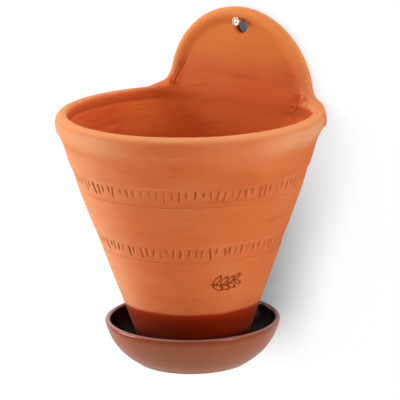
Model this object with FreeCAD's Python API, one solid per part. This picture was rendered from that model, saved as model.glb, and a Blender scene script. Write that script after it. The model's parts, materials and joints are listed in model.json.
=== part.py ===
import FreeCAD, Part

import math
import os

from FreeCAD import Vector

# Hanging wall planter of fired clay: a thrown bowl is cut flat at the back and closed by a slab
# that rises into a round-topped tab. A saucer is luted under the foot, and the whole hangs on one
# steel nail. Millimetres, +X right, +Y into the wall, +Z up. The origin is where the nail's axis
# meets the wall face. A drop is a distance down from the crest of the rim.

# Nail
NECK_RADIUS = 1.5
DRIVEN_RADIUS = 1.75
DRIVEN_LENGTH = 28.0
POINT_LENGTH = 4.0
POINT_TIP_RADIUS = 0.3
HEAD_RADIUS = 3.2
HEAD_THICKNESS = 1.6
HEAD_EDGE = 0.4

# Slab and its hanging tab
SLAB_THICKNESS = 7.0
TAB_RISE = 68.4
TAB_SHIFT = 1.0
BEAD_RADIUS = 4.75
FLARE_RADIUS = 18.0
FLARE_REACH = 3.0
HOLE_BELOW_TOP = 14.05
HOLE_EDGE = 1.2

# Bowl: radii from its own axis, drops from the crest of the rim
AXIS_TO_WALL = 68.0
BOWL_SHIFT = -3.0
RIM_RADIUS = 94.7
LIP_RADIUS = 4.5
COLLAR_OUT = 5.3
COLLAR_DROP = 7.6
UNDERSIDE_HEIGHT = 12.2
UNDERSIDE_BULGE = 0.9
UNDERSIDE_OUT = 1.3
BLEND_HEIGHT = 4.2
WALL_TOP_IN = 1.0
BELLY_HEIGHT = 18.0
BELLY_BULGE = 1.0
FOOT_RADIUS = 37.6
BOWL_HEIGHT = 185.0
WALL_THICKNESS = 7.0
FLOOR_THICKNESS = 9.0
FLOOR_CORNER = 8.0
WEEP_RADIUS = 4.0
WEEP_COUNT = 4

# Saucer
SAUCER_WALL = 4.0
SAUCER_RISE = 26.5
SAUCER_FLOOR = 6.5
SAUCER_FOOT_RADIUS = 43.1
SAUCER_BULGE = 3.0

# Clay coils pressed into the joints
SEAM_COIL = 4.5
SEAM_COIL_TOP_DROP = 12.0
FOOT_COIL = 5.0

# Clearances: hanging hole over the neck and past the head, head before the tab's face,
# saucer before the wall, tab's sides inside the rim, saucer's floor outside the foot coil
SEAT_GAP = 0.2
HEAD_PASS = 2.55
HEAD_GAP = 5.0
SAUCER_GAP = 1.9
TAB_SET_IN = 4.2
SAUCER_MARGIN = 0.9

# Radii that follow from the sizes above
COLLAR_RADIUS = RIM_RADIUS + COLLAR_OUT
WALL_TOP_RADIUS = RIM_RADIUS - WALL_TOP_IN
SAUCER_RADIUS = AXIS_TO_WALL - SAUCER_GAP
SAUCER_FLOOR_RADIUS = FOOT_RADIUS + FOOT_COIL + SAUCER_MARGIN
HOLE_RADIUS = HEAD_RADIUS + HEAD_PASS
TAB_RADIUS = math.sqrt(RIM_RADIUS ** 2 - (AXIS_TO_WALL - BEAD_RADIUS) ** 2) - TAB_SET_IN

# Drops and heights that follow from the sizes above
UNDERSIDE_DROP = COLLAR_DROP + UNDERSIDE_HEIGHT
WALL_TOP_DROP = UNDERSIDE_DROP + BLEND_HEIGHT
BELLY_DROP = WALL_TOP_DROP + BELLY_HEIGHT
HOLE_Z = NECK_RADIUS + SEAT_GAP - HOLE_RADIUS
TAB_TOP_Z = HOLE_Z + HOLE_BELOW_TOP
RIM_Z = TAB_TOP_Z - TAB_RISE
ARCH_Z = TAB_TOP_Z - TAB_RADIUS
BASE_Z = RIM_Z - BOWL_HEIGHT
FLOOR_Z = BASE_Z + FLOOR_THICKNESS
SAUCER_BOTTOM_Z = BASE_Z - SAUCER_FLOOR
SAUCER_CREST_Z = BASE_Z + SAUCER_RISE

TAB_X = BOWL_SHIFT + TAB_SHIFT
BOWL_AXIS = Vector(BOWL_SHIFT, -AXIS_TO_WALL, 0)
UP = Vector(0, 0, 1)
TO_WALL = Vector(0, 1, 0)
BIG = 4 * COLLAR_RADIUS
SAME_SIZE = 0.01  # two sizes nearer than this count as equal when an edge is picked


def point(radius, z):
    """A point of a bowl or saucer profile, drawn in the plane y = 0 about the Z axis."""
    return Vector(radius, 0, z)


def line(a, b):
    return Part.LineSegment(a, b).toShape()


def arc(a, b, c):
    return Part.Arc(a, b, c).toShape()


def quarter(a, b, centre):
    """A quarter bend from a to b about a centre: the arc through the middle of the ellipse."""
    half = math.cos(math.radians(45))
    return arc(a, centre + (a - centre + b - centre) * half, b)


def bowed(a, b, bulge):
    """An arc from a to b that stands out from its chord by a bulge, away from the bowl's axis."""
    along = (b - a).normalize()
    out = Vector(abs(along.z), 0, -abs(along.x))
    return arc(a, (a + b) * 0.5 + out * bulge, b)


def outline(points):
    """Straight lines from point to point and back to the first."""
    return [line(a, b) for a, b in zip(points, points[1:] + points[:1])]


def turned(edges):
    """Spin a closed profile a full turn and set it on the bowl's axis."""
    face = Part.Face(Part.Wire(edges))
    solid = face.revolve(Vector(0, 0, 0), UP, 360)
    solid.translate(BOWL_AXIS)
    return solid


def clean(shape):
    """The shape with split faces joined, as one solid where it is one."""
    shape = shape.removeSplitter()
    return shape.Solids[0] if len(shape.Solids) == 1 else shape


def box_between(low, high):
    size = high.sub(low)
    return Part.makeBox(size.x, size.y, size.z, low)


def slab_space(front, back):
    """Everything between two planes that are parallel to the wall."""
    return box_between(Vector(-BIG, front, -BIG), Vector(BIG, back, BIG))


def wall_radius(drop):
    """Outer radius of the bowl's wall under the collar, with its slight belly near the top."""
    slope = (FOOT_RADIUS - WALL_TOP_RADIUS) / (BOWL_HEIGHT - WALL_TOP_DROP)
    straight = WALL_TOP_RADIUS + slope * (drop - WALL_TOP_DROP)
    if drop < BELLY_DROP:
        return straight + BELLY_BULGE * (drop - WALL_TOP_DROP) / BELLY_HEIGHT
    return straight + BELLY_BULGE * (BOWL_HEIGHT - drop) / (BOWL_HEIGHT - BELLY_DROP)


def at_drop(radius, drop):
    """A profile point a drop below the crest of the rim."""
    return point(radius, RIM_Z - drop)


def outer_edges():
    """Outer profile from the crest of the rim down to the edge of the foot."""
    crest = at_drop(RIM_RADIUS, 0)
    widest = at_drop(COLLAR_RADIUS, COLLAR_DROP)
    underside = at_drop(WALL_TOP_RADIUS + UNDERSIDE_OUT, UNDERSIDE_DROP)
    wall_top = at_drop(WALL_TOP_RADIUS, WALL_TOP_DROP)
    belly = at_drop(wall_radius(BELLY_DROP), BELLY_DROP)
    foot = at_drop(FOOT_RADIUS, BOWL_HEIGHT)
    return [
        quarter(crest, widest, at_drop(RIM_RADIUS, COLLAR_DROP)),
        bowed(widest, underside, UNDERSIDE_BULGE),
        line(underside, wall_top),
        line(wall_top, belly),
        line(belly, foot),
    ]


def inner_points():
    """Inner profile, from the inner edge of the lip down to the floor's corner."""
    return [at_drop(RIM_RADIUS - LIP_RADIUS, LIP_RADIUS)] + [
        at_drop(wall_radius(drop) - WALL_THICKNESS, drop)
        for drop in (WALL_TOP_DROP, BELLY_DROP, BOWL_HEIGHT - FLOOR_THICKNESS)
    ]


def filled_bowl():
    """The bowl's outside as a solid body, with no hollow."""
    top = point(0, RIM_Z)
    base = point(0, BASE_Z)
    edges = [line(top, at_drop(RIM_RADIUS, 0))] + outer_edges()
    return turned(edges + [line(at_drop(FOOT_RADIUS, BOWL_HEIGHT), base), line(base, top)])


def bowl_hollow(inset):
    """The bowl's hollow below the lip, drawn in by an inset on its wall and floor."""
    points = [Vector(p.x - inset, 0, p.z) for p in inner_points()]
    points[-1].z += inset
    return turned(outline([point(0, points[0].z)] + points + [point(0, points[-1].z)]))


def thrown_bowl():
    inner = inner_points()
    lip = quarter(inner[0], at_drop(RIM_RADIUS, 0), at_drop(RIM_RADIUS, LIP_RADIUS))
    inside = [point(FOOT_RADIUS, BASE_Z), point(0, BASE_Z), point(0, FLOOR_Z)] + inner[::-1]
    bowl = turned([lip] + outer_edges() + outline(inside)[:-1])
    corner = [
        e for e in bowl.Edges
        if isinstance(e.Curve, Part.Circle)
        and abs(e.Curve.Radius - inner[-1].x) < SAME_SIZE
        and abs(e.Curve.Center.z - FLOOR_Z) < SAME_SIZE
    ]
    bowl = bowl.makeFillet(FLOOR_CORNER, corner)
    for turn in range(WEEP_COUNT):
        bowl = bowl.cut(weep_hole(360.0 * turn / WEEP_COUNT))
    return clean(bowl.cut(slab_space(-SLAB_THICKNESS, BIG)))


def weep_hole(angle):
    """A level hole through the wall, its lowest line flush with the bowl's floor."""
    turn = math.radians(angle)
    outward = Vector(math.cos(turn), math.sin(turn), 0)
    reach = 2 * WALL_THICKNESS
    start = BOWL_AXIS + outward * (FOOT_RADIUS - reach)
    start.z = FLOOR_Z + WEEP_RADIUS
    return Part.makeCylinder(WEEP_RADIUS, 2 * reach, start, outward)


def border_section(edge, end, side):
    """Section of the tab at its border: a flat slab whose edge is a round bead.

    The bead's far side is at the radius edge, the slab runs from it to the radius end, and side
    is 1 where the border is the slab's outer edge or -1 where it is its inner one.
    """
    middle = Vector(edge - side * BEAD_RADIUS, -BEAD_RADIUS, 0)
    back = middle + Vector(0, BEAD_RADIUS, 0)
    far = middle + Vector(side * BEAD_RADIUS, 0, 0)
    front = middle - Vector(0, BEAD_RADIUS, 0)
    flank = math.sqrt(BEAD_RADIUS ** 2 - (SLAB_THICKNESS - BEAD_RADIUS) ** 2)
    foot = Vector(middle.x - side * flank, -SLAB_THICKNESS, 0)
    shoulder = middle + (front - middle + foot - middle).normalize() * BEAD_RADIUS
    return [
        line(Vector(end, 0, 0), back),
        arc(back, far, front),
        arc(front, shoulder, foot),
        line(foot, Vector(end, -SLAB_THICKNESS, 0)),
        line(Vector(end, -SLAB_THICKNESS, 0), Vector(end, 0, 0)),
    ]


def swept(edges, centre_x, centre_z, start, sweep):
    """Sweep a section about an axis square to the wall, from a start angle seen from the room."""
    face = Part.Face(Part.Wire(edges))
    face.rotate(Vector(0, 0, 0), -TO_WALL, start)
    solid = face.revolve(Vector(0, 0, 0), -TO_WALL, sweep)
    solid.translate(Vector(centre_x, 0, centre_z))
    return solid


def tab_core(tangent):
    """The flat middle of the tab, from inside the slab up into the arched part."""
    low = RIM_Z - 2 * BEAD_RADIUS
    half = TAB_RADIUS - 2 * BEAD_RADIUS
    shoulder = ARCH_Z + half * math.sin(tangent)
    corners = [
        (-half, low), (half, low), (half * math.cos(tangent), shoulder),
        (0, ARCH_Z + half / 2), (-half * math.cos(tangent), shoulder),
    ]
    face = Part.Face(Part.Wire(outline([Vector(TAB_X + x, 0, z) for x, z in corners])))
    return face.extrude(Vector(0, -SLAB_THICKNESS, 0))


def hanging_tab():
    """The arched tab with its round border, which flares out into the rim on each side."""
    flare_z = RIM_Z + FLARE_RADIUS
    lift = flare_z - ARCH_Z
    tangent = math.asin(lift / (TAB_RADIUS + FLARE_RADIUS))
    offset = (TAB_RADIUS + FLARE_RADIUS) * math.cos(tangent)
    degrees = math.degrees(tangent)
    arch = border_section(TAB_RADIUS, 0, 1)
    flare = border_section(FLARE_RADIUS, FLARE_RADIUS + 3 * BEAD_RADIUS, -1)
    pieces = [
        swept(arch, TAB_X, ARCH_Z, degrees, 180 - 2 * degrees),
        swept(flare, TAB_X + offset, flare_z, 180 + degrees, 90 - degrees),
        swept(flare, TAB_X - offset, flare_z, 270, 90 - degrees),
    ]
    tab = tab_core(tangent).multiFuse(pieces)
    reach = Part.makeCylinder(
        RIM_RADIUS + FLARE_REACH, BIG, BOWL_AXIS + UP * (RIM_Z - BIG / 2), UP
    )
    return tab.common(reach)


def hanging_hole():
    """The hole for the nail: both edges bevelled, and the border scooped out before it."""
    front = -SLAB_THICKNESS
    scoop = -3 * BEAD_RADIUS
    wide = HOLE_RADIUS + HOLE_EDGE
    profile = [
        Vector(0, scoop, 0),
        Vector(wide, scoop, 0),
        Vector(wide, front, 0),
        Vector(HOLE_RADIUS, front + HOLE_EDGE, 0),
        Vector(HOLE_RADIUS, -HOLE_EDGE, 0),
        Vector(wide, 0, 0),
        Vector(wide, HOLE_EDGE, 0),
        Vector(0, HOLE_EDGE, 0),
    ]
    solid = Part.Face(Part.Wire(outline(profile))).revolve(Vector(0, 0, 0), TO_WALL, 360)
    solid.translate(Vector(0, 0, HOLE_Z))
    return solid


def back_slab(bowl):
    closing = filled_bowl().common(slab_space(-SLAB_THICKNESS, 0))
    slab = closing.fuse(hanging_tab())
    return clean(slab.cut(bowl).cut(hanging_hole()))


def seam_coil(bowl, slab):
    """The coil pressed into the corner between the bowl's wall and the slab."""
    corner = bowl_hollow(0).cut(bowl_hollow(SEAM_COIL))
    front = -SLAB_THICKNESS - SEAM_COIL
    strip = box_between(
        Vector(-BIG, front, FLOOR_Z + FLOOR_CORNER),
        Vector(BIG, -SLAB_THICKNESS, RIM_Z - SEAM_COIL_TOP_DROP),
    )
    return clean(corner.common(strip).cut(bowl).cut(slab))


def foot_coil():
    """The ring of clay that holds the bowl's foot to the saucer's floor."""
    return turned(outline([
        point(FOOT_RADIUS, BASE_Z),
        point(FOOT_RADIUS + FOOT_COIL, BASE_Z),
        at_drop(wall_radius(BOWL_HEIGHT - FOOT_COIL), BOWL_HEIGHT - FOOT_COIL),
    ]))


def saucer():
    lip_z = SAUCER_CREST_Z - SAUCER_WALL / 2
    outer_low = point(SAUCER_FOOT_RADIUS, SAUCER_BOTTOM_Z)
    outer_high = point(SAUCER_RADIUS, lip_z)
    crest = point(SAUCER_RADIUS - SAUCER_WALL / 2, SAUCER_CREST_Z)
    inner_high = point(SAUCER_RADIUS - SAUCER_WALL, lip_z)
    inner_low = point(SAUCER_FLOOR_RADIUS, BASE_Z)
    return turned([
        line(point(0, SAUCER_BOTTOM_Z), outer_low),
        bowed(outer_low, outer_high, SAUCER_BULGE),
        arc(outer_high, crest, inner_high),
        bowed(inner_high, inner_low, SAUCER_BULGE),
        line(inner_low, point(0, BASE_Z)),
        line(point(0, BASE_Z), point(0, SAUCER_BOTTOM_Z)),
    ])


def wall_nail():
    """Neck in front of the wall, thicker driven shank and point in it, and a flat round head."""
    head_back = -SLAB_THICKNESS - HEAD_GAP
    head_front = head_back - HEAD_THICKNESS
    rim = HEAD_RADIUS - HEAD_EDGE
    profile = [
        Vector(0, head_front, 0),
        Vector(rim, head_front, 0),
        Vector(HEAD_RADIUS, head_front + HEAD_EDGE, 0),
        Vector(HEAD_RADIUS, head_back - HEAD_EDGE, 0),
        Vector(rim, head_back, 0),
        Vector(NECK_RADIUS, head_back, 0),
        Vector(NECK_RADIUS, 0, 0),
        Vector(DRIVEN_RADIUS, 0, 0),
        Vector(DRIVEN_RADIUS, DRIVEN_LENGTH, 0),
        Vector(POINT_TIP_RADIUS, DRIVEN_LENGTH + POINT_LENGTH, 0),
        Vector(0, DRIVEN_LENGTH + POINT_LENGTH, 0),
    ]
    return Part.Face(Part.Wire(outline(profile))).revolve(Vector(0, 0, 0), TO_WALL, 360)


def main():
    os.makedirs("parts", exist_ok=True)
    bowl = thrown_bowl()
    slab = back_slab(bowl)
    pieces = {
        "thrown_bowl": bowl,
        "back_slab": slab,
        "seam_coil": seam_coil(bowl, slab),
        "foot_coil": foot_coil(),
        "saucer": saucer(),
        "wall_nail": wall_nail(),
    }
    for name, shape in pieces.items():
        box = shape.optimalBoundingBox(False, False)
        print(
            f"{name}: {len(shape.Solids)} solid, valid {shape.isValid()}, {shape.Volume / 1000:.1f} cm3, "
            f"z {box.ZMin:.1f} to {box.ZMax:.1f}, y {box.YMin:.1f} to {box.YMax:.1f}"
        )
        shape.exportStep(f"parts/{name}.step")


main()
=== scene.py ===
import json
import math

import bmesh
import bpy
import numpy as np
from mathutils import Matrix, Vector

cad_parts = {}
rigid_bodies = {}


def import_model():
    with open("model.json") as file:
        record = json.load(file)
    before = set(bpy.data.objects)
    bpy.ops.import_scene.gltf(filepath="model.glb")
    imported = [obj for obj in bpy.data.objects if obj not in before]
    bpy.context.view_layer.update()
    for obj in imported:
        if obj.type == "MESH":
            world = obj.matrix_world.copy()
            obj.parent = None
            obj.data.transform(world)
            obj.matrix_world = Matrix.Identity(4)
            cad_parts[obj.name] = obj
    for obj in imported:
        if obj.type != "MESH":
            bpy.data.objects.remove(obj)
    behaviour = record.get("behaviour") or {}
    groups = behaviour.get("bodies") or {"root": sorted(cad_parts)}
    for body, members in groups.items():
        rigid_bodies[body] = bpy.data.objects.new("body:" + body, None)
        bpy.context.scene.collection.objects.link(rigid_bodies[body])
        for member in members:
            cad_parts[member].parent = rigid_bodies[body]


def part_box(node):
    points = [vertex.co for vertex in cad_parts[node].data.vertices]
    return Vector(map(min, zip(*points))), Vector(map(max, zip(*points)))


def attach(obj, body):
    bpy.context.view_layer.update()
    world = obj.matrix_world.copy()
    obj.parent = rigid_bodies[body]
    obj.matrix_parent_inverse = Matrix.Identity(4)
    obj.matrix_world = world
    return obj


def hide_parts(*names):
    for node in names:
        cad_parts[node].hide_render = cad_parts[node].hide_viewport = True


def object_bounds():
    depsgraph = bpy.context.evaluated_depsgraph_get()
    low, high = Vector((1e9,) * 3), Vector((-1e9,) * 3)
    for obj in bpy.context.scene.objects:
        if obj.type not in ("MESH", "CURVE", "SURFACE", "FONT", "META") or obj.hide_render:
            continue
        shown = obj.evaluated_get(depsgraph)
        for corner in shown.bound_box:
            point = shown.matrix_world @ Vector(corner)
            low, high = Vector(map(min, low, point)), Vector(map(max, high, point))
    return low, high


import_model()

bl_info = {
    "name": "Wall planter",
    "version": (1, 0, 0),
    "blender": (4, 5, 0),
    "location": "3D View > Sidebar > Planter",
    "description": "Dresses the frame of a hanging wall planter in fired clay, glaze and steel",
    "category": "Object",
}

# Everything is in metres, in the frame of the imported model: +X right, +Y into the wall, +Z up,
# and the origin where the nail's axis meets the wall. A drop is a distance below the rim's crest.

BOUNDS_OF_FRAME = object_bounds()
BOWL_LOW, BOWL_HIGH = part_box("thrown_bowl")
SAUCER_LOW, SAUCER_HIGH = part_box("saucer")
NAIL_LOW, NAIL_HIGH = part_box("wall_nail")

COLLAR_RADIUS = (BOWL_HIGH.x - BOWL_LOW.x) / 2
AXIS_X = (BOWL_HIGH.x + BOWL_LOW.x) / 2
AXIS_Y = BOWL_LOW.y + COLLAR_RADIUS
RIM_Z = BOWL_HIGH.z
BASE_Z = BOWL_LOW.z
TAB_TOP_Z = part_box("back_slab")[1].z
SAUCER_RADIUS = (SAUCER_HIGH.x - SAUCER_LOW.x) / 2
SAUCER_CREST_Z = SAUCER_HIGH.z
SAUCER_BOTTOM_Z = SAUCER_LOW.z
HEAD_RADIUS = NAIL_HIGH.x
HEAD_FRONT_Y = NAIL_LOW.y
NAIL_TIP_Y = NAIL_HIGH.y

# Sizes that the frame's boxes don't give, the same as in the part's source
RIM_RADIUS = COLLAR_RADIUS - 0.0053
LIP_RADIUS = 0.0045
LIP_EDGE = 0.0018
COLLAR_DROP = 0.0076
GALLERY_DROP = 0.0085
COLLAR_LINE_DROP = 0.0146
FOOT_RADIUS = 0.0376
FLOOR = 0.009
SLAB = 0.007
INNER_FILLET = 0.011
CREASE_GAP = 0.0022
BEAD = 0.00475
TAB_RADIUS = 0.06628
TAB_SHIFT = 0.001
FLARE_RADIUS = 0.018
FLARE_REACH = 0.003
HOLE_RADIUS = 0.00575
HOLE_Z = TAB_TOP_Z - 0.01405
WEEP_RADIUS = 0.004
WEEP_COUNT = 4
SAUCER_WALL = 0.004
SAUCER_FOOT_RADIUS = 0.0431
SAUCER_FLOOR_RADIUS = 0.0435
SAUCER_BULGE = 0.004
NECK_RADIUS = 0.0015
DRIVEN_RADIUS = 0.00175
DRIVEN_LENGTH = 0.028

ARCH_Z = TAB_TOP_Z - TAB_RADIUS
TAB_X = AXIS_X + TAB_SHIFT
CUT_FACE_Y = -SLAB
STROKE_WIDTH = 0.00072
STROKE_SLANT = 0.03

# (radius, drop) of the wall's two lowest points above the foot
LOW_WALL = ((0.0533, 0.1400), (0.0443, 0.1660))
# How far inside the outline of the bowl a point of its surface is taken to be on the hollow side
HOLLOW_GAP = 0.0035
# Where the corner of bowl and slab meets the rim, right of the axis
CORNER_REACH = 0.0585
# How far the tab's plate and border run down into the body
TAB_ROOT = 0.010
# The outer tool crease on the slab: where it meets the rim, its lean and its bow
CREASE_X, CREASE_LEAN, CREASE_BOW = -0.0670, 0.317, 11.2
# Drop from the rim to the middle of the arcs that the rib drew on the slab
ARC_DROP = 0.16
# Depths of a band's upper and lower line, their half width, and how far the band is sunk
LINE_DEPTHS, LINE_HALF_WIDTH, BAND_SINK = (0.00022, 0.00034), 0.00055, 0.00030
# Longest side of a triangle on each part of the clay
LONGEST_SIDE = {"plain": 0.0042, "rim": 0.0019, "groove": 0.0011, "band": 0.00085,
                "line": 0.00092, "sprig": 0.00045, "hole": 0.0011, "corner": 0.0013,
                "crease": 0.0009, "weep": 0.0016}

# Where each mask of the paint starts and where it is full: drops from the rim (DROP), heights
# above it (RISE), places before the wall (FRONT), right of the tab's middle (SIDE), turns from
# the front (TURN), distances from the hole (HOLE) and bends in radians a metre (BEND)
# Most of these masks place painted light and painted shade in the clay's colour.
COLLAR_TOP_DROP, COLLAR_FOOT_DROP = (0.0025, 0.0045), (0.0175, 0.0125)
LIT_COLLAR_TOP_DROP, LIT_COLLAR_FOOT_DROP, LIT_COLLAR_FRONT = (0.0020, 0.0055), (0.0235, 0.0100), (-0.004, -0.026)
CORNER_DROP, CORNER_FRONT = (0.004, 0.018), (-0.055, -0.030)
TAB_RIGHT_RISE, TAB_RIGHT_SIDE = (0.004, 0.016), (-0.01, 0.045)
LIP_DROP, OPEN_LIP_FRONT = (0.0026, 0.0014), (-0.014, -0.034)
PALE_HOLE = (HOLE_RADIUS + 0.0010, HOLE_RADIUS + 0.0030)
DARK_HOLE = (HOLE_RADIUS + 0.0010, HOLE_RADIUS + 0.0002)
LEFT_TURN, FAR_RIGHT_TURN = (0.35, -0.30), (1.0, 1.5)
SIDE_LIGHT_TURN, SIDE_LIGHT_DROP = (0.25, -0.55), (0.012, 0.030)
PALE_BEND, DARK_BEND = (70, 200), (-220, -520)

# The camera that the photograph was taken with, in its own terms
IMAGE_SIDE = 400
FOCAL_PIXELS = 2695.0
SENSOR = 36.0
CAMERA_AZIMUTH = math.radians(37.27)
CAMERA_ELEVATION = math.radians(13.97)
CAMERA_ROLL = math.radians(-0.83)
CAMERA_DISTANCE = 2.008
CAMERA_TARGET = Vector((0.0056, -0.068, -0.12585))

# The stage
WALL_PLANE_Y = 0.0003
STAGE_SIDE, STAGE_FRONT, STAGE_TOP = 3, -4, 2.0
KEY_PLACE, KEY_SIZE = (-1.48, -1.02, 0.14), 1.1
SIDE_PLACE, SIDE_SIZE = (1.44, -0.24, 0.14), 0.42
OPEN_WALL_GLOW = (0.92, 0.93, 0.935)
# Painted shadow on the wall, seen through the nail's hole.
HOLE_SHADOW_COLOUR = (0.066, 0.102, 0.114)
MIRRORED_WALL = (0.14, 0.14, 0.14)


# ---------------------------------------------------------------- settings

def length_setting(name, description, default, **limits):
    return bpy.props.FloatProperty(name=name, description=description, default=default,
                                   unit="LENGTH", subtype="DISTANCE", **limits)


def colour_setting(name, description, default):
    return bpy.props.FloatVectorProperty(name=name, description=description, default=default,
                                         subtype="COLOR", min=0, max=1)


class PlanterClaySettings(bpy.types.PropertyGroup):
    """Sizes and colours of the fired clay body."""

    mesh_step: length_setting(
        "Mesh Step", "Side of the cells that the clay is first meshed in", 0.0028, min=0.001)
    turning_depth: length_setting(
        "Turning Depth", "Height of the throwing rings on the inside", 0.0004)
    corner_roughness: length_setting(
        "Luting Roughness", "Height of the finger marks in the right-hand corner", 0.0008)
    glaze_drop: length_setting(
        "Glaze Drop", "Drop from the rim to the edge of the foot's glaze", 0.1425)
    main_colour: colour_setting("Clay", "Colour of the fired clay", (0.76, 0.172, 0.042))
    # Paler clay: random dry bloom in the mottling, and painted highlight on the strokes' flanks and
    # beside the incised lines.
    bloom_and_highlight_colour: colour_setting(
        "Bloom", "Colour of the clay where it is dry and chalky", (0.82, 0.375, 0.150))
    # Darker clay: random smears in the mottling, and painted shade in creases, grooves, strokes,
    # the sprig and the lines.
    deep_clay_and_shade_colour: colour_setting(
        "Deep Clay And Shade", "Colour of the clay in hollows and smears", (0.50, 0.085, 0.014))
    # Painted shade and bounce light: a deeper, redder clay colour inside the bowl and down the slab
    # into it.
    inner_shade_colour: colour_setting(
        "Inner Shade", "Colour of the clay inside the bowl", (0.80, 0.145, 0.028))
    # Painted light: a paler clay colour on the collar and on the bowl's left and right sides, where
    # the lamps fall, broken up by cloudy dry bloom.
    bloom_and_side_light_colour: colour_setting(
        "Bloom And Side Light", "Colour of the clay where salts have dried on it", (0.93, 0.46, 0.235))
    # Painted light: a paler clay colour high on the tab and in the hollow just under the rim beside
    # the slab.
    painted_light_colour: colour_setting(
        "Painted Tab Light", "Colour of the clay high on the tab", (1.0, 0.32, 0.068))
    # Partly rubbed wear, partly painted highlight on crests such as the lip and the tab's border.
    worn_edge_and_highlight_colour: colour_setting(
        "Edges", "Colour of the clay where edges are rubbed pale", (1.0, 0.39, 0.145))
    glaze_colour: colour_setting(
        "Foot Glaze", "Colour of the glaze on the foot", (0.33, 0.019, 0.0006))


class PlanterBandSettings(bpy.types.PropertyGroup):
    """One band of pressed strokes round the bowl."""

    top: length_setting("Top Drop", "Drop from the rim to the band's upper line", 0.0403)
    height: length_setting("Height", "Height of the pressed strokes", 0.0100)
    line_gap: length_setting(
        "Line Gap", "Distance between the band's upper and lower lines", 0.0137)
    count: bpy.props.IntProperty(
        name="Strokes", description="Strokes in a full turn", default=97, min=1)
    depth: length_setting("Depth", "Depth of a stroke", 0.0007)
    seed: bpy.props.IntProperty(
        name="Seed", description="Seed of the strokes' unevenness", default=3)


class PlanterStampSettings(bpy.types.PropertyGroup):
    """The plain sprig pressed low on the bowl."""

    drop: length_setting("Drop", "Drop from the rim to the middle of the sprig", 0.117)
    turn: bpy.props.FloatProperty(
        name="Turn", description="Turn of the sprig from the front", default=math.radians(62),
        unit="ROTATION", subtype="ANGLE")
    length: length_setting("Length", "Length of the sprig", 0.026)
    depth: length_setting("Depth", "Depth of the sprig", 0.0006)


class PlanterSaucerSettings(bpy.types.PropertyGroup):
    """Colours of the glazed saucer and its luting coil."""

    outside_colour: colour_setting(
        "Outside", "Colour of the thin glaze outside", (0.36, 0.108, 0.045))
    rim_colour: colour_setting(
        "Rim", "Colour of the glaze where it breaks over the rim", (0.31, 0.053, 0.012))
    # Partly thin glaze on the rim's edge, partly painted highlight along the crest.
    worn_rim_and_highlight_colour: colour_setting(
        "Worn Rim And Highlight", "Colour of the thin glaze on the rim's very edge", (0.46, 0.235, 0.175))
    inside_colour: colour_setting(
        "Inside", "Colour of the thick glaze inside", (0.022, 0.0024, 0.0008))
    segments: bpy.props.IntProperty(
        name="Segments", description="Segments round the saucer", default=192, min=24)


class PlanterNailSettings(bpy.types.PropertyGroup):
    """Finish of the wall nail."""

    colour: colour_setting("Steel", "Colour of the zinc-plated steel", (0.70, 0.665, 0.60))
    segments: bpy.props.IntProperty(
        name="Segments", description="Segments round the nail", default=64, min=16)


class PlanterStageSettings(bpy.types.PropertyGroup):
    """The wall, the floor, the lamps and the camera."""

    wall_colour: colour_setting("Wall", "Colour of the wall", (0.84, 0.845, 0.855))
    shadow_colour: colour_setting(
        "Shadow", "Colour of the wall's paint where the pot keeps the room's light off it",
        (0.19, 0.205, 0.21))
    shadow_reach: length_setting(
        "Shadow Reach", "How far from the pot the wall is still shaded by it", 0.056)
    floor_drop: length_setting("Floor", "Height of the floor under the nail", -1.2)
    key_power: bpy.props.FloatProperty(
        name="Key", description="Power of the large lamp on the left", default=22.5, unit="POWER")
    side_power: bpy.props.FloatProperty(
        name="Side", description="Power of the lamp on the right", default=8.5, unit="POWER")
    room_light: bpy.props.FloatProperty(
        name="Room", description="Strength of the light from all round", default=0.25)
    top_light: bpy.props.FloatProperty(
        name="Top", description="Strength that the light from above adds", default=1.9)
    opening: bpy.props.FloatProperty(
        name="Opening", description="How much darker the room is where the camera looks in",
        default=0.95, min=0, max=1)


# ---------------------------------------------------------------- meshes and fields

def smooth_step(low, high, value):
    share = np.clip((value - low) / (high - low), 0, 1)
    return share * share * (3 - 2 * share)


def lattice_noise(points, size, seed):
    """Smooth noise from -1 to 1, as random values on a lattice with cells of a given size."""
    values = np.random.default_rng(seed).uniform(-1, 1, (32, 32, 32))
    scaled = np.asarray(points) / size + 1000.0
    cell = np.floor(scaled).astype(int)
    share = scaled - cell
    share = share * share * (3 - 2 * share)
    total = np.zeros(len(scaled))
    for corner in np.ndindex(2, 2, 2):
        weight = np.prod(np.where(corner, share, 1 - share), axis=1)
        at = (cell + corner) % 32
        total += weight * values[at[:, 0], at[:, 1], at[:, 2]]
    return total


def bend(start, end, centre, steps=8):
    """Points of a quarter bend from start to end about a centre."""
    a = np.subtract(start, centre)
    b = np.subtract(end, centre)
    turn = np.linspace(0, math.pi / 2, steps + 1)[:, None]
    return [tuple(p) for p in centre + a * np.cos(turn) + b * np.sin(turn)]


def distance_table(outline, step=0.0004, margin=0.014):
    """Signed distance from a closed outline in the plane of radius and height, on a grid."""
    points = np.array(outline, float)
    low = points.min(0) - margin
    high = points.max(0) + margin
    radii = np.arange(low[0], high[0], step)
    heights = np.arange(low[1], high[1], step)
    r, z = np.meshgrid(radii, heights, indexing="ij")
    nearest = np.full(r.shape, np.inf)
    inside = np.zeros(r.shape, bool)
    for a, b in zip(points, np.roll(points, -1, axis=0)):
        run = b - a
        length = run @ run
        if length == 0:
            continue
        share = np.clip(((r - a[0]) * run[0] + (z - a[1]) * run[1]) / length, 0, 1)
        gap = np.hypot(r - a[0] - share * run[0], z - a[1] - share * run[1])
        nearest = np.minimum(nearest, gap)
        if run[1] != 0:
            crosses = (a[1] > z) != (b[1] > z)
            inside ^= crosses & (r < a[0] + (z - a[1]) * run[0] / run[1])
    return np.where(inside, -nearest, nearest), low, step


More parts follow.
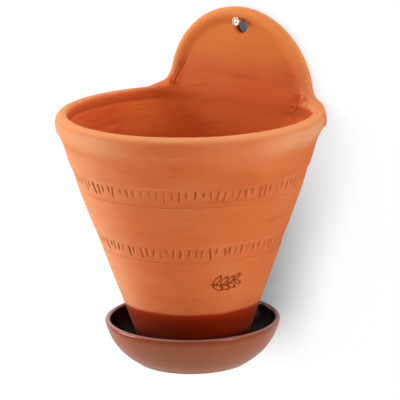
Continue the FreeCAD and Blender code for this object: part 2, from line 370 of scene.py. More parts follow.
def look_up(table, r, z):
    """Distances from a table at any radii and heights."""
    values, low, step = table
    u = np.clip((r - low[0]) / step, 0, values.shape[0] - 1.001)
    v = np.clip((z - low[1]) / step, 0, values.shape[1] - 1.001)
    i, j = u.astype(int), v.astype(int)
    u, v = u - i, v - j
    return ((values[i, j] * (1 - u) + values[i + 1, j] * u) * (1 - v)
            + (values[i, j + 1] * (1 - u) + values[i + 1, j + 1] * u) * v)


def round_union(a, b, radius):
    """Union of two fields with a round fillet in the corner between them."""
    corner = np.hypot(np.maximum(radius - a, 0), np.maximum(radius - b, 0))
    return np.maximum(radius, np.minimum(a, b)) - corner


def round_common(a, b, radius):
    """Common part of two fields with a rounded edge."""
    edge = np.hypot(np.maximum(radius + a, 0), np.maximum(radius + b, 0))
    return np.minimum(-radius, np.maximum(a, b)) + edge


def soft_union(a, b, reach):
    """Union of two fields that melt together over a reach, which may vary over the points."""
    share = np.clip(0.5 + 0.5 * (b - a) / reach, 0, 1)
    return b * (1 - share) + a * share - reach * share * (1 - share)


def surface_net(values, origin, step):
    """A closed net of triangles where the values on a grid change sign."""
    below = values < 0
    cells = tuple(n - 1 for n in values.shape)
    corners = list(np.ndindex(2, 2, 2))
    count = np.zeros(cells, int)
    for c in corners:
        count += below[c[0]:c[0] + cells[0], c[1]:c[1] + cells[1], c[2]:c[2] + cells[2]]
    mixed = (count > 0) & (count < 8)
    number = np.full(cells, -1)
    number[mixed] = np.arange(mixed.sum())
    at = np.argwhere(mixed)
    total = np.zeros((len(at), 3))
    hits = np.zeros(len(at))
    for first in corners:
        for axis in range(3):
            if first[axis]:
                continue
            second = tuple(1 if k == axis else v for k, v in enumerate(first))
            a = values[tuple((at + first).T)]
            b = values[tuple((at + second).T)]
            crosses = (a < 0) != (b < 0)
            share = np.where(crosses, a / np.where(crosses, a - b, 1), 0)
            place = np.array(first, float) + share[:, None] * np.eye(3)[axis]
            total += np.where(crosses[:, None], place, 0)
            hits += crosses
    points = (at + total / hits[:, None]) * step + origin
    triangles = []
    for axis in range(3):
        u, v = [k for k in range(3) if k != axis]
        if axis == 1:
            u, v = v, u
        low = [slice(1, -1)] * 3
        high = [slice(1, -1)] * 3
        low[axis], high[axis] = slice(0, -1), slice(1, None)
        start, end = below[tuple(low)], below[tuple(high)]
        for leaving in (True, False):
            hit = (start & ~end) if leaving else (~start & end)
            base = np.argwhere(hit)
            for k in range(3):
                if k != axis:
                    base[:, k] += 1
            step_u, step_v = np.eye(3, dtype=int)[u], np.eye(3, dtype=int)[v]
            ring = [base - step_u - step_v, base - step_v, base, base - step_u]
            ids = np.stack([number[tuple(r.T)] for r in ring], axis=1)
            if not leaving:
                ids = ids[:, ::-1]
            one = np.linalg.norm(points[ids[:, 0]] - points[ids[:, 2]], axis=1)
            two = np.linalg.norm(points[ids[:, 1]] - points[ids[:, 3]], axis=1)
            short = (one <= two)[:, None]
            triangles.append(np.where(short, ids[:, [0, 1, 2]], ids[:, [0, 1, 3]]))
            triangles.append(np.where(short, ids[:, [0, 2, 3]], ids[:, [1, 2, 3]]))
    return points, np.concatenate(triangles)


def split_long_edges(points, triangles, target):
    """One round of splitting the edges longer than their target, with no gaps left."""
    sides = np.concatenate([triangles[:, [0, 1]], triangles[:, [1, 2]], triangles[:, [2, 0]]])
    edges, index = np.unique(np.sort(sides, axis=1), axis=0, return_inverse=True)
    index = index.reshape(3, -1).T
    ends = points[edges]
    middle = ends.mean(1)
    long = np.linalg.norm(ends[:, 0] - ends[:, 1], axis=1) > target(middle)
    number = np.full(len(edges), -1)
    number[long] = len(points) + np.arange(long.sum())
    points = np.concatenate([points, middle[long]])
    mid = number[index]
    cut = mid >= 0
    parts = [triangles[~cut.any(1)]]
    for turn in range(3):
        order = [(turn + k) % 3 for k in range(3)]
        t, m, c = triangles[:, order], mid[:, order], cut[:, order]
        one = c[:, 0] & ~c[:, 1] & ~c[:, 2]
        a, b, d, ab = t[one, 0], t[one, 1], t[one, 2], m[one, 0]
        parts += [np.stack([a, ab, d], 1), np.stack([ab, b, d], 1)]
        two = c[:, 0] & c[:, 1] & ~c[:, 2]
        a, b, d, ab, bd = t[two, 0], t[two, 1], t[two, 2], m[two, 0], m[two, 1]
        parts += [np.stack([ab, b, bd], 1), np.stack([a, ab, bd], 1), np.stack([a, bd, d], 1)]
    full = cut.all(1)
    a, b, d = triangles[full].T
    ab, bd, da = mid[full].T
    parts += [np.stack([a, ab, da], 1), np.stack([ab, b, bd], 1),
              np.stack([da, bd, d], 1), np.stack([ab, bd, da], 1)]
    return points, np.concatenate(parts)


def mesh_object(name, points, faces):
    """A smooth-shaded object at the origin, with its place in its mesh."""
    mesh = bpy.data.meshes.new(name)
    if isinstance(faces, np.ndarray):
        mesh.vertices.add(len(points))
        mesh.vertices.foreach_set("co", np.ascontiguousarray(points, np.float32).ravel())
        mesh.loops.add(faces.size)
        mesh.loops.foreach_set("vertex_index", faces.ravel().astype(np.int32))
        mesh.polygons.add(len(faces))
        mesh.polygons.foreach_set("loop_start", np.arange(0, faces.size, 3, dtype=np.int32))
        mesh.update(calc_edges=True)
    else:
        mesh.from_pydata([tuple(p) for p in points], [], faces)
    mesh.validate()
    mesh.shade_smooth()
    piece = bpy.data.objects.new(name, mesh)
    bpy.context.scene.collection.objects.link(piece)
    return piece


def turned_piece(name, profile, segments, centre, axis="Z"):
    """A closed piece spun from a profile of (radius, place along the axis), poles included."""
    points, faces = [], []
    rings = []
    for radius, along in profile:
        if radius < 1e-7:
            rings.append([len(points)])
            points.append((0.0, 0.0, along))
            continue
        ring = list(range(len(points), len(points) + segments))
        for k in range(segments):
            turn = 2 * math.pi * k / segments
            points.append((radius * math.cos(turn), radius * math.sin(turn), along))
        rings.append(ring)
    for lower, upper in zip(rings, rings[1:]):
        for k in range(segments):
            n = (k + 1) % segments
            if len(lower) == 1:
                faces.append((lower[0], upper[n], upper[k]))
            elif len(upper) == 1:
                faces.append((lower[k], lower[n], upper[0]))
            else:
                faces.append((lower[k], lower[n], upper[n], upper[k]))
    if axis == "Y":
        points = [(x, z, -y) for x, y, z in points]
    piece = mesh_object(name, [Vector(p) + centre for p in points], faces)
    face_outwards(piece)
    return piece


def face_outwards(piece):
    """Turn a closed mesh so that its faces point out."""
    mesh = piece.data
    volume = 0.0
    for face in mesh.polygons:
        corners = [mesh.vertices[i].co for i in face.vertices]
        for b, c in zip(corners[1:], corners[2:]):
            volume += corners[0].dot(b.cross(c))
    if volume < 0:
        mesh.flip_normals()


# ---------------------------------------------------------------- the clay's form

def bowl_outline():
    """Outside of the bowl from the crest of the rim to the foot, as (radius, drop)."""
    crest = (RIM_RADIUS, 0.0)
    widest = (COLLAR_RADIUS, COLLAR_DROP)
    collar = bend(crest, widest, (RIM_RADIUS, COLLAR_DROP), 10)
    under = [(0.0994, 0.0112), (0.0982, 0.0138), (0.0969, 0.0162), (0.0957, 0.0185),
             (0.0949, 0.0206), (0.0942, 0.0226), (0.0936, 0.0245)]
    wall = [(0.0922, 0.0300), (0.0904, 0.0360), (0.0890, 0.0398), (0.0880, 0.0420),
            (0.0856, 0.0500), (0.0822, 0.0600), (0.0749, 0.0800), (0.0714, 0.0900),
            (0.0676, 0.1000), (0.0605, 0.1200), *LOW_WALL]
    foot = [(FOOT_RADIUS + 0.0006, 0.1838), (FOOT_RADIUS - 0.0006, RIM_Z - BASE_Z)]
    return collar + under + wall + foot


def hollow_outline(gallery_drop):
    """Inside of the bowl from the crest of the rim to the floor's corner, as (radius, drop)."""
    inner = RIM_RADIUS - LIP_RADIUS + 0.0010
    edge = inner + LIP_EDGE
    lip = [(RIM_RADIUS, 0.0)] + bend((edge, 0.0), (inner, LIP_EDGE), (edge, LIP_EDGE), 8)
    gallery = [(0.0911, gallery_drop - 0.0014), (0.0918, gallery_drop - 0.0004),
               (0.0915, gallery_drop + 0.0004), (0.0896, gallery_drop + 0.0011),
               (0.0888, gallery_drop + 0.0026)]
    wall = [(0.0867, 0.0240), (0.0814, 0.0420), (0.0678, 0.0800), (0.0465, 0.1400),
            (0.0364, 0.1680)]
    floor_drop = RIM_Z - BASE_Z - FLOOR
    corner = [(0.0335, 0.1722), (0.0290, 0.1750), (0.0245, floor_drop)]
    return lip + gallery + wall + corner


def at_height(outline):
    return [(radius, RIM_Z - drop) for radius, drop in outline]


def wall_radius(z):
    """Outer radius of the bowl at a height, for the parts under the collar."""
    radii, drops = np.array(bowl_outline()).T
    return np.interp(RIM_Z - z, drops, radii)


def crease_gap(x, z):
    """How far right of the outer tool crease in the left-hand corner a place on the slab lies."""
    up = z - RIM_Z
    return x - CREASE_X - CREASE_LEAN * up - CREASE_BOW * up * up


def weep_places(x, y):
    """For each weep hole: how far out along it points lie, and how far beside its axis."""
    dx, dy = x - AXIS_X, y - AXIS_Y
    for k in range(WEEP_COUNT):
        turn = 2 * math.pi * k / WEEP_COUNT
        yield (dx * math.cos(turn) + dy * math.sin(turn),
               dy * math.cos(turn) - dx * math.sin(turn))


def sprig_field(u, v, length):
    """Distance from a plain sprig drawn in thin lines: a bowed stem with pairs of leaves."""
    tilt = math.radians(14)
    along = u * math.cos(tilt) + v * math.sin(tilt)
    across = -u * math.sin(tilt) + v * math.cos(tilt)
    half = length / 2
    line = 0.00040

    def bow(at):
        return 0.16 * length * ((at / half) ** 2 - 0.4)

    nearest = np.maximum(np.abs(across - bow(along)) - line, np.abs(along) - half)
    for k in range(4):
        root = (-0.40 + 0.21 * k) * length
        leaf_length = length * (0.32 - 0.03 * k)
        for side in (-1, 1):
            lean = math.radians(42)
            middle = root + 0.5 * leaf_length * math.cos(lean)
            lift = bow(root) + side * (0.5 * leaf_length * math.sin(lean) + 0.0004)
            da, dc = along - middle, (across - lift) * side
            run = da * math.cos(lean) + dc * math.sin(lean)
            rise = -da * math.sin(lean) + dc * math.cos(lean)
            width = 0.22 * leaf_length
            leaf = (np.hypot(run / (0.5 * leaf_length), rise / width) - 1) * width
            nearest = np.minimum(nearest, np.abs(leaf) - line)
    return nearest


class ClayForm:
    """The signed distance field of the whole clay body, as fired: bowl, slab, tab and seams."""

    def __init__(self, clay, bands, stamp):
        top = (-0.15, RIM_Z)
        self.outside = distance_table(at_height(bowl_outline()) + [(-0.15, BASE_Z), top])
        opening = [(RIM_RADIUS, RIM_Z + 0.03), (-0.15, RIM_Z + 0.03), (-0.15, BASE_Z + FLOOR)]
        hollow = at_height(hollow_outline(GALLERY_DROP))
        self.hollow = distance_table(opening + hollow[::-1])
        self.turning = clay.turning_depth
        self.luting = clay.corner_roughness
        self.bands = [(b.top, b.line_gap) for b in bands]
        self.stamp = stamp

    def stamp_place(self, p):
        """A point's place on the sprig: across it, up along the wall, and whether it is outside."""
        dx, dy = p[:, 0] - AXIS_X, p[:, 1] - AXIS_Y
        turn = np.arctan2(dx, -dy)
        radius = np.hypot(dx, dy)
        u = (turn - self.stamp.turn) * radius
        v = p[:, 2] - (RIM_Z - self.stamp.drop)
        return u, v / 0.94, radius > wall_radius(p[:, 2]) - 0.003

    def rings(self, p):
        """Throwing rings on the inside: uneven steps in height that drift slowly round the wall."""
        drift = np.column_stack([p[:, 0] * 0.12, p[:, 1] * 0.12, p[:, 2] + 0.03 * p[:, 0]])
        broad, fine = lattice_noise(drift, 0.007, 5), lattice_noise(drift, 0.0031, 6)
        return self.turning * (broad + 0.5 * fine)

    def __call__(self, p, detail=True):
        x, y, z = p.T
        r = np.hypot(x - AXIS_X, y - AXIS_Y)
        outside = look_up(self.outside, r, z)
        hollow = look_up(self.hollow, r, z)
        front = y - CUT_FACE_Y
        if detail:
            rings = self.rings(p)
            hollow = hollow + rings
            front = front + 0.6 * rings * smooth_step(RIM_Z + 0.02, RIM_Z - 0.01, z)
            outside = outside + self.outer_marks(p, r, z)
        body = np.maximum(outside, y)
        cavity = round_common(hollow, front, INNER_FILLET)
        body = np.maximum(body, -cavity)
        # the tab: a disc that flares into the rim, with a round border along its edge
        disc = np.hypot(x - TAB_X, z - ARCH_Z) - TAB_RADIUS
        flare = FLARE_RADIUS - 0.006 * smooth_step(-0.03, 0.03, x - TAB_X)
        edge = round_union(disc, z - RIM_Z, flare)
        reach = r - RIM_RADIUS - FLARE_REACH
        plate = np.maximum(np.maximum(np.maximum(edge + BEAD, -front), y), reach)
        plate = np.maximum(plate, RIM_Z - TAB_ROOT - z)
        border = np.hypot(edge + BEAD, y + BEAD) - BEAD
        border = np.maximum(np.maximum(border, reach), RIM_Z - TAB_ROOT - z)
        tab = soft_union(plate, border, 0.0045)
        melt = 0.0001 + 0.0085 * smooth_step(0.055, 0.068, np.abs(x - TAB_X))
        body = soft_union(body, tab, melt)
        if detail:
            body = body + self.corner_marks(p)
        body = round_common(body, y, 0.0010)
        hole = np.hypot(x, z - HOLE_Z) - HOLE_RADIUS - 0.0003 * smooth_step(-0.006, -0.0095, y)
        body = round_common(body, -hole, 0.0012)
        for along, across in weep_places(x, y):
            weep = np.hypot(across, z - BASE_Z - FLOOR - WEEP_RADIUS) - WEEP_RADIUS
            weep = np.maximum(weep, 0.02 - along)
            body = round_common(body, -weep, 0.0006)
        return body

    def outer_marks(self, p, r, z):
        """Incised lines, faint turning and the sprig on the outside, as depths in the clay."""
        drop = RIM_Z - z
        wobble = 0.00025 * lattice_noise(p, 0.022, 21)
        depth = np.zeros(len(p))
        for top, gap in self.bands:
            low = top + gap
            for at, deep in zip((top, low), LINE_DEPTHS):
                depth += deep * np.exp(-((drop - at - wobble) / LINE_HALF_WIDTH) ** 2)
            depth += (BAND_SINK * smooth_step(top - 0.0015, top, drop)
                      * smooth_step(low, low - 0.002, drop))
        depth += 0.00020 * np.exp(-((drop - 0.0052) / 0.0008) ** 2)
        slow = np.column_stack([p[:, 0] * 0.15, p[:, 1] * 0.15, p[:, 2]])
        depth += 0.00010 * lattice_noise(slow, 0.009, 31)
        u, v, outer = self.stamp_place(p)
        near = outer & (np.abs(u) < 0.02) & (np.abs(v) < 0.02)
        if near.any():
            mark = sprig_field(u[near], v[near], self.stamp.length)
            depth[near] += self.stamp.depth * smooth_step(0.0003, -0.0003, mark)
        return depth

    def corner_marks(self, p):
        """Tool creases in the left-hand corner and finger marks in the right-hand one."""
        x, y, z = p.T
        depth = np.zeros(len(p))
        left = smooth_step(0.026, 0.018, z - RIM_Z) * smooth_step(-0.007, 0.001, z - RIM_Z)
        left = left * smooth_step(-0.02, -0.012, y)
        for along in (0.0, CREASE_GAP):
            sway = 0.0004 * lattice_noise(p, 0.012, 41)
            depth += 0.0008 * left * np.exp(-((crease_gap(x, z) - along - sway) / 0.0006) ** 2)
        away = np.hypot(x - AXIS_X - CORNER_REACH, (z - RIM_Z + 0.001) * 0.8)
        right = smooth_step(0.017, 0.007, away) * smooth_step(-0.035, -0.02, y)
        right = right * smooth_step(-0.002, -0.006, y)
        smear = lattice_noise(p, 0.0046, 51) + 0.6 * lattice_noise(p, 0.0023, 52)
        return depth + self.luting * right * smear

    def gradient(self, p, step=0.00012):
        slopes = [self(p + step * axis) - self(p - step * axis) for axis in np.eye(3)]
        return np.stack(slopes, axis=1) / (2 * step)

    def settle(self, p, rounds=2):
        """Move points along the slope of the field until they lie on the clay's surface."""
        for _ in range(rounds):
            slope = self.gradient(p)
            steep = np.maximum((slope ** 2).sum(1), 0.25)
            move = -(self(p) / steep)[:, None] * slope
            p = p + np.clip(move, -0.0015, 0.0015)
        return p

    def sharpness(self, p, step=0.0022):
        """How sharply the surface bends, in turns of one radian a metre: above 0 on edges."""
        around = sum(self(p + side * step * axis, detail=False)
                     for axis in np.eye(3) for side in (-1, 1))
        return (around - 6 * self(p, detail=False)) / step ** 2

    def edge_target(self, p):
        """Longest edge that the mesh may have at a point."""
        x, y, z = p.T
        drop = RIM_Z - z
        r = np.hypot(x - AXIS_X, y - AXIS_Y)
        outer = r > wall_radius(z) - 0.0025
        target = np.full(len(p), LONGEST_SIDE["plain"])
        rim = (drop > -0.001) & (drop < 0.0125) & (r > 0.086) & (y < CUT_FACE_Y + 0.002)
        target[rim] = LONGEST_SIDE["rim"]
        groove = (np.abs(drop - 0.0088) < 0.0022) & (np.abs(r - 0.090) < 0.003)
        target[groove & (y < CUT_FACE_Y)] = LONGEST_SIDE["groove"]
        for top, gap in self.bands:
            in_band = outer & (drop > top - 0.0008) & (drop < top + 0.0108)
            target[in_band] = LONGEST_SIDE["band"]
            for at in (top, top + gap):
                target[outer & (np.abs(drop - at) < 0.0009)] = LONGEST_SIDE["line"]
        u, v, on_wall = self.stamp_place(p)
        half = self.stamp.length / 2
        sprig = (np.abs(u) < 1.1 * half) & (np.abs(v) < 0.75 * half)
        target[on_wall & outer & sprig] = LONGEST_SIDE["sprig"]
        target[np.hypot(x, z - HOLE_Z) < HOLE_RADIUS + 0.003] = LONGEST_SIDE["hole"]
        corner = (np.abs(drop) < 0.014) & (y > -0.03) & (y < -0.004)
        near_corner = np.hypot(x - AXIS_X - CORNER_REACH, drop) < 0.017
        target[corner & near_corner] = LONGEST_SIDE["corner"]
        left = (x < AXIS_X - 0.04) & (y > -0.016) & (y < -0.004) & (np.abs(drop + 0.008) < 0.019)
        on_crease = np.abs(crease_gap(x, z) - CREASE_GAP / 2) < 0.0028
        target[left & on_crease] = LONGEST_SIDE["crease"]
        weep = np.abs(z - BASE_Z - FLOOR - WEEP_RADIUS) < WEEP_RADIUS + 0.001
        for along, across in weep_places(x, y):
            on_weep = weep & (along > 0) & (np.abs(across) < WEEP_RADIUS + 0.001)
            target[on_weep] = LONGEST_SIDE["weep"]
        return target


def clay_mesh(form, step):
    """The clay's surface as points and triangles, finer where it carries marks."""
    low = np.array(BOUNDS_OF_FRAME[0]) - 2.5 * step
    high = np.array([BOUNDS_OF_FRAME[1][0], 0.0, BOUNDS_OF_FRAME[1][2]]) + 2.5 * step
    axes = [np.arange(a, b + step, step) for a, b in zip(low, high)]
    grid = np.stack(np.meshgrid(*axes, indexing="ij"), axis=-1)
    shape = grid.shape[:3]
    values = form(grid.reshape(-1, 3), detail=False).reshape(shape)
    points, triangles = surface_net(values, np.array([a[0] for a in axes]), step)
    points = form.settle(points, 3)
    for _ in range(3):
        before = len(points)
        points, triangles = split_long_edges(points, triangles, form.edge_target)
        if len(points) == before:
            break
        points = form.settle(points, 1)
    return form.settle(points, 1), triangles


# ---------------------------------------------------------------- node helpers

def sign(operation, swapped=False):
    """A sign of arithmetic that adds a math node."""
    def method(self, other):
        return self.t.math(operation, *((other, self) if swapped else (self, other)))
    return method


class Number:
    """An output of a node, which takes the signs of arithmetic."""

    def __init__(self, t, socket):
        self.t, self.socket = t, socket

    __add__, __radd__ = sign("ADD"), sign("ADD", True)
    __sub__, __rsub__ = sign("SUBTRACT"), sign("SUBTRACT", True)
    __mul__, __rmul__ = sign("MULTIPLY"), sign("MULTIPLY", True)
    __truediv__, __rtruediv__ = sign("DIVIDE"), sign("DIVIDE", True)


class Tree:
    """Short calls for building a shader or geometry node tree."""

    def __init__(self, tree):
        self.tree = tree
        self.count = 0

    def add(self, kind, inputs=None, **settings):
        node = self.tree.nodes.new(kind)
        self.count += 1
        node.location = (200 * (self.count % 9), -190 * (self.count // 9))
        for name, value in settings.items():
            setattr(node, name, value)
        for key, value in (inputs or {}).items():
            self.feed(node.inputs[key], value)
        return node

    def feed(self, socket, value):
        if isinstance(value, Number):
            value = value.socket
        if isinstance(value, bpy.types.NodeSocket):
            self.tree.links.new(value, socket)
        elif socket.type == "RGBA" and len(value) == 3:
            socket.default_value = (*value, 1.0)
        else:
            socket.default_value = value

    def numbers(self, sockets):
        return {socket.name: Number(self, socket) for socket in sockets}

    def math(self, operation, a, b=None, c=None, clamp=False):
        node = self.add("ShaderNodeMath", operation=operation, use_clamp=clamp)
        for socket, value in zip(node.inputs, (a, b, c)):
            if value is not None:
                self.feed(socket, value)
        return Number(self, node.outputs[0])

    def vector(self, operation, a, b=None, scale=None):
        node = self.add("ShaderNodeVectorMath", operation=operation)
        for key, value in ((0, a), (1, b), ("Scale", scale)):
            if value is not None:
                self.feed(node.inputs[key], value)
        result = "Value" if operation in ("DOT_PRODUCT", "LENGTH") else "Vector"
        return Number(self, node.outputs[result])

    def split(self, vector):
        apart = self.add("ShaderNodeSeparateXYZ", {0: vector}).outputs
        return [Number(self, socket) for socket in apart]

    def joined(self, x, y, z):
        return self.add("ShaderNodeCombineXYZ", {0: x, 1: y, 2: z}).outputs[0]

    def mask(self, name):
        """A mask that the piece carries as an attribute."""
        return Number(self, self.add("ShaderNodeAttribute", attribute_name=name).outputs["Fac"])

    def mix_colour(self, factor, a, b):
        node = self.add("ShaderNodeMix", {0: factor, 6: a, 7: b}, data_type="RGBA")
        return node.outputs[2]

    def layered(self, colour, layers):
        """A colour under layers of (mask, paint), from the lowest up."""
        for mask, paint in layers:
            colour = self.mix_colour(mask, colour, paint)
        return colour

    def step(self, value, low, high, to_low=0.0, to_high=1.0):
        node = self.add("ShaderNodeMapRange", {
            "Value": value, "From Min": low, "From Max": high, "To Min": to_low,
            "To Max": to_high}, interpolation_type="SMOOTHSTEP")
        return Number(self, node.outputs["Result"])

    def noise(self, vector, scale, detail=2.0, roughness=0.5):
        node = self.add("ShaderNodeTexNoise", {"Vector": vector, "Scale": scale,
                                               "Detail": detail, "Roughness": roughness})
        return Number(self, node.outputs[0])


FLOAT, COLOUR, VECTOR = "NodeSocketFloat", "NodeSocketColor", "NodeSocketVector"
WHOLE, GEOMETRY, MATERIAL = "NodeSocketInt", "NodeSocketGeometry", "NodeSocketMaterial"


def group(name, inputs, outputs, kind="ShaderNodeTree"):
    """A node group with named sockets: (Tree, its inputs, its output node)."""
    tree = bpy.data.node_groups.new(name, kind)
    for label, socket_kind, *default in inputs:
        socket = tree.interface.new_socket(name=label, in_out="INPUT", socket_type=socket_kind)
        if default:
            socket.default_value = default[0]
    for label, socket_kind in outputs:
        tree.interface.new_socket(name=label, in_out="OUTPUT", socket_type=socket_kind)
    t = Tree(tree)
    return t, t.numbers(t.add("NodeGroupInput").outputs), t.add("NodeGroupOutput")


def mottling_group():
    """Uneven clay colour: broad clouds, chalky bloom and fine specks."""
    t, given, end = group("Clay mottling", [
        ("Vector", VECTOR), ("Main", COLOUR), ("Bloom", COLOUR), ("Deep", COLOUR),
        ("Bloom Amount", FLOAT, 0.5), ("Cloud Size", FLOAT, 0.05)], [("Color", COLOUR)])
    place = given["Vector"]
    scale = 1.0 / given["Cloud Size"]
    clouds = t.noise(place, scale, 3.0, 0.55)
    streaks = t.noise(t.vector("MULTIPLY", place, (0.35, 0.35, 1.6)), scale * 2.2, 4.0, 0.6)
    bloom = t.step(clouds * 0.6 + streaks * 0.4, 0.44, 0.66)
    specks = t.noise(place, 900.0, 1.0)
    t.feed(end.inputs["Color"], t.layered(given["Main"], [
        (t.step(streaks, 0.48, 0.28) * 0.35, given["Deep"]),
        (bloom * given["Bloom Amount"], given["Bloom"]),
        (t.step(specks, 0.66, 0.76) * 0.18, given["Bloom"]),
        (t.step(specks, 0.34, 0.25) * 0.15, given["Deep"])]))
    return t.tree


def turning_group():
    """Fine level lines that a turned surface keeps, as a height and as a mask of darker lines."""
    t, given, end = group("Turning lines", [
        ("Vector", VECTOR), ("Spacing", FLOAT, 0.003), ("Drift", FLOAT, 0.1),
        ("Seed", FLOAT, 0.0)], [("Height", FLOAT), ("Lines", FLOAT)])
    x, y, z = t.split(given["Vector"])
    placed = t.joined(x * given["Drift"] + given["Seed"], y * given["Drift"], z)
    scale = 1.0 / given["Spacing"]
    broad = t.noise(placed, scale, 3.0, 0.6)
    fine = t.noise(placed, scale * 3.7, 2.0, 0.5)
    t.feed(end.inputs["Height"], broad + fine * 0.35)
    t.feed(end.inputs["Lines"], t.step(broad, 0.42, 0.30))
    return t.tree


def grain_group():
    """The sandy tooth of dry clay or the slight orange peel of a glaze."""
    t, given, end = group("Surface grain", [
        ("Vector", VECTOR), ("Grain Size", FLOAT, 0.0008), ("Pits", FLOAT, 0.5)],
        [("Height", FLOAT)])
    scale = 1.0 / given["Grain Size"]
    sand = t.noise(given["Vector"], scale, 3.0, 0.6)
    cells = t.add("ShaderNodeTexVoronoi", {"Vector": given["Vector"], "Scale": scale * 0.16})
    pits = t.step(cells.outputs["Distance"], 0.16, 0.05) * given["Pits"]
    t.feed(end.inputs["Height"], sand - pits)
    return t.tree


def from_axis(t, x, y):
    """How far right of the bowl's axis a place is, how far before it, and how far out."""
    right, before = x - AXIS_X, AXIS_Y - y
    return right, before, t.math("SQRT", right * right + before * before)


def dipped_group():
    """Where a dipped glaze covers the foot: below a height, with a wavy edge, outside the wall; and
    how far below the edge a painted shadow darkens it.
    """
    t, given, end = group("Dipped glaze", [
        ("Vector", VECTOR), ("Edge Height", FLOAT, 0.0), ("Wave", FLOAT, 0.001)],
        [("Mask", FLOAT), ("Edge Line", FLOAT), ("Depth", FLOAT)])
    x, y, z = t.split(given["Vector"])
    level = t.vector("MULTIPLY", given["Vector"], (1.0, 1.0, 0.2))
    wave = (t.noise(level, 40.0, 2.0) - 0.5) * given["Wave"]
    under = given["Edge Height"] + wave - z
    (radius, drop), (low_radius, low_drop) = LOW_WALL
    slope = (radius - low_radius) / (low_drop - drop)
    wall = radius + slope * drop - (RIM_Z - z) * slope
    outside = t.step(from_axis(t, x, y)[2] - wall, -0.0045, -0.0035)
    mask = t.step(under, -0.0009, 0.0014) * outside
    t.feed(end.inputs["Mask"], mask)
    t.feed(end.inputs["Edge Line"], t.step(under, 0.0075, 0.0) * mask)
    # Depth: a painted shadow of the saucer, darkening the glaze further below its edge.
    t.feed(end.inputs["Depth"], t.step(under, 0.010, 0.040))
    return t.tree


# ---------------------------------------------------------------- pressed strokes

def stroke_pattern(t, place, given, width, slant):
    """A band of uneven pressed strokes on a turned wall: how deep, and how far raised beside."""
    x, y, z = t.split(place)
    right, before, radius = from_axis(t, x, y)
    turns = t.math("ARCTAN2", right, before) / (2 * math.pi) * given["Count"]
    number = t.math("FLOOR", turns)
    pitch = radius * (2 * math.pi) / given["Count"]
    across = (turns - number - 0.5) * pitch
    first = number + given["Seed"] * 5000.0

    def uneven(low, high, offset):
        value = t.add("ShaderNodeTexWhiteNoise", {"W": first + 400.0 * offset},
                      noise_dimensions="1D").outputs["Value"]
        return t.math("MULTIPLY_ADD", value, high - low, low)

    below = given["Top"] - z
    share = below / given["Height"]
    lean = slant + uneven(-0.16, 0.16, 1)
    bow = share * share * uneven(-0.0016, 0.0016, 2)
    off = across - uneven(-0.20, 0.20, 3) * pitch + lean * below + bow
    wide = width * uneven(0.8, 1.3, 4)
    on_right = t.math("GREATER_THAN", off, 0.0)
    ratio = off / (wide * t.math("MULTIPLY_ADD", on_right, 0.45, 0.80))
    groove = t.math("EXPONENT", ratio * ratio * -1.0)
    start, stop = uneven(0.0, 0.14, 5), uneven(0.62, 1.12, 6)
    ends = t.step(share, start, start + 0.14) * t.step(share, stop, stop - 0.26)
    reach = ends * t.step(y, -0.009, -0.018) * uneven(0.45, 1.0, 7)
    flank = t.step(ratio, 0.9, 1.8) * t.step(ratio, 3.2, 1.8)
    return groove * reach, flank * reach


def stroke_tree():
    """Geometry nodes that press a row of uneven strokes into a turned wall."""
    t, given, end = group("Pressed strokes", [
        ("Geometry", GEOMETRY), ("Count", WHOLE, 97), ("Depth", FLOAT, 0.0007),
        ("Width", FLOAT, STROKE_WIDTH), ("Top", FLOAT, 0.0), ("Height", FLOAT, 0.01),
        ("Slant", FLOAT, STROKE_SLANT), ("Seed", WHOLE, 0), ("Material", MATERIAL)],
        [("Geometry", GEOMETRY)], "GeometryNodeTree")
    t.tree.is_modifier = True
    place = t.add("GeometryNodeInputPosition").outputs[0]
    press, flank = stroke_pattern(t, place, given, given["Width"], given["Slant"])
    level = t.vector("SUBTRACT", place, (AXIS_X, AXIS_Y, 0.0))
    level = t.vector("NORMALIZE", t.vector("MULTIPLY", level, (1.0, 1.0, 0.0)))
    normal = t.add("GeometryNodeInputNormal").outputs[0]
    outside = t.step(t.vector("DOT_PRODUCT", normal, level), 0.3, 0.7)
    move = (flank * 0.12 - press) * outside * given["Depth"]
    set_place = t.add("GeometryNodeSetPosition", {
        "Geometry": given["Geometry"], "Offset": t.vector("SCALE", normal, scale=move)})
    real = t.add("GeometryNodeRealizeInstances", {"Geometry": set_place.outputs[0]})
    painted = t.add("GeometryNodeSetMaterial", {"Geometry": real.outputs[0],
                                                "Material": given["Material"]})
    t.feed(end.inputs["Geometry"], painted.outputs[0])
    return t.tree


def stroke_group():
    """The same band of strokes as masks for the paint: the strokes, painted dark as painted shade,
    and their raised flanks, painted pale as painted highlight.
    """
    t, given, end = group("Stroke marks", [
        ("Vector", VECTOR), ("Count", FLOAT, 97.0), ("Top", FLOAT, 0.0), ("Height", FLOAT, 0.01),
        ("Seed", FLOAT, 0.0)], [("Strokes", FLOAT), ("Flanks", FLOAT)])
    press, flank = stroke_pattern(t, given["Vector"], given, STROKE_WIDTH, STROKE_SLANT)
    t.feed(end.inputs["Strokes"], press)
    t.feed(end.inputs["Flanks"], flank)
    return t.tree


def add_strokes(piece, **values):
    """Put the stroke tree on a piece with its named inputs."""
    tree = bpy.data.node_groups.get("Pressed strokes") or stroke_tree()
    modifier = piece.modifiers.new("Pressed strokes", "NODES")
    modifier.node_group = tree
    for item in tree.interface.items_tree:
        if item.in_out == "INPUT" and item.name.lower() in values:
            modifier[item.identifier] = values[item.name.lower()]


def settle_modifiers(piece):
    """Swap a piece's mesh for the result of its modifiers, and remove them."""
    bpy.context.view_layer.update()
    evaluated = piece.evaluated_get(bpy.context.evaluated_depsgraph_get())
    mesh = bpy.data.meshes.new_from_object(evaluated)
    old = piece.data
    piece.modifiers.clear()
    piece.data = mesh
    mesh.name = piece.name
    bpy.data.meshes.remove(old)


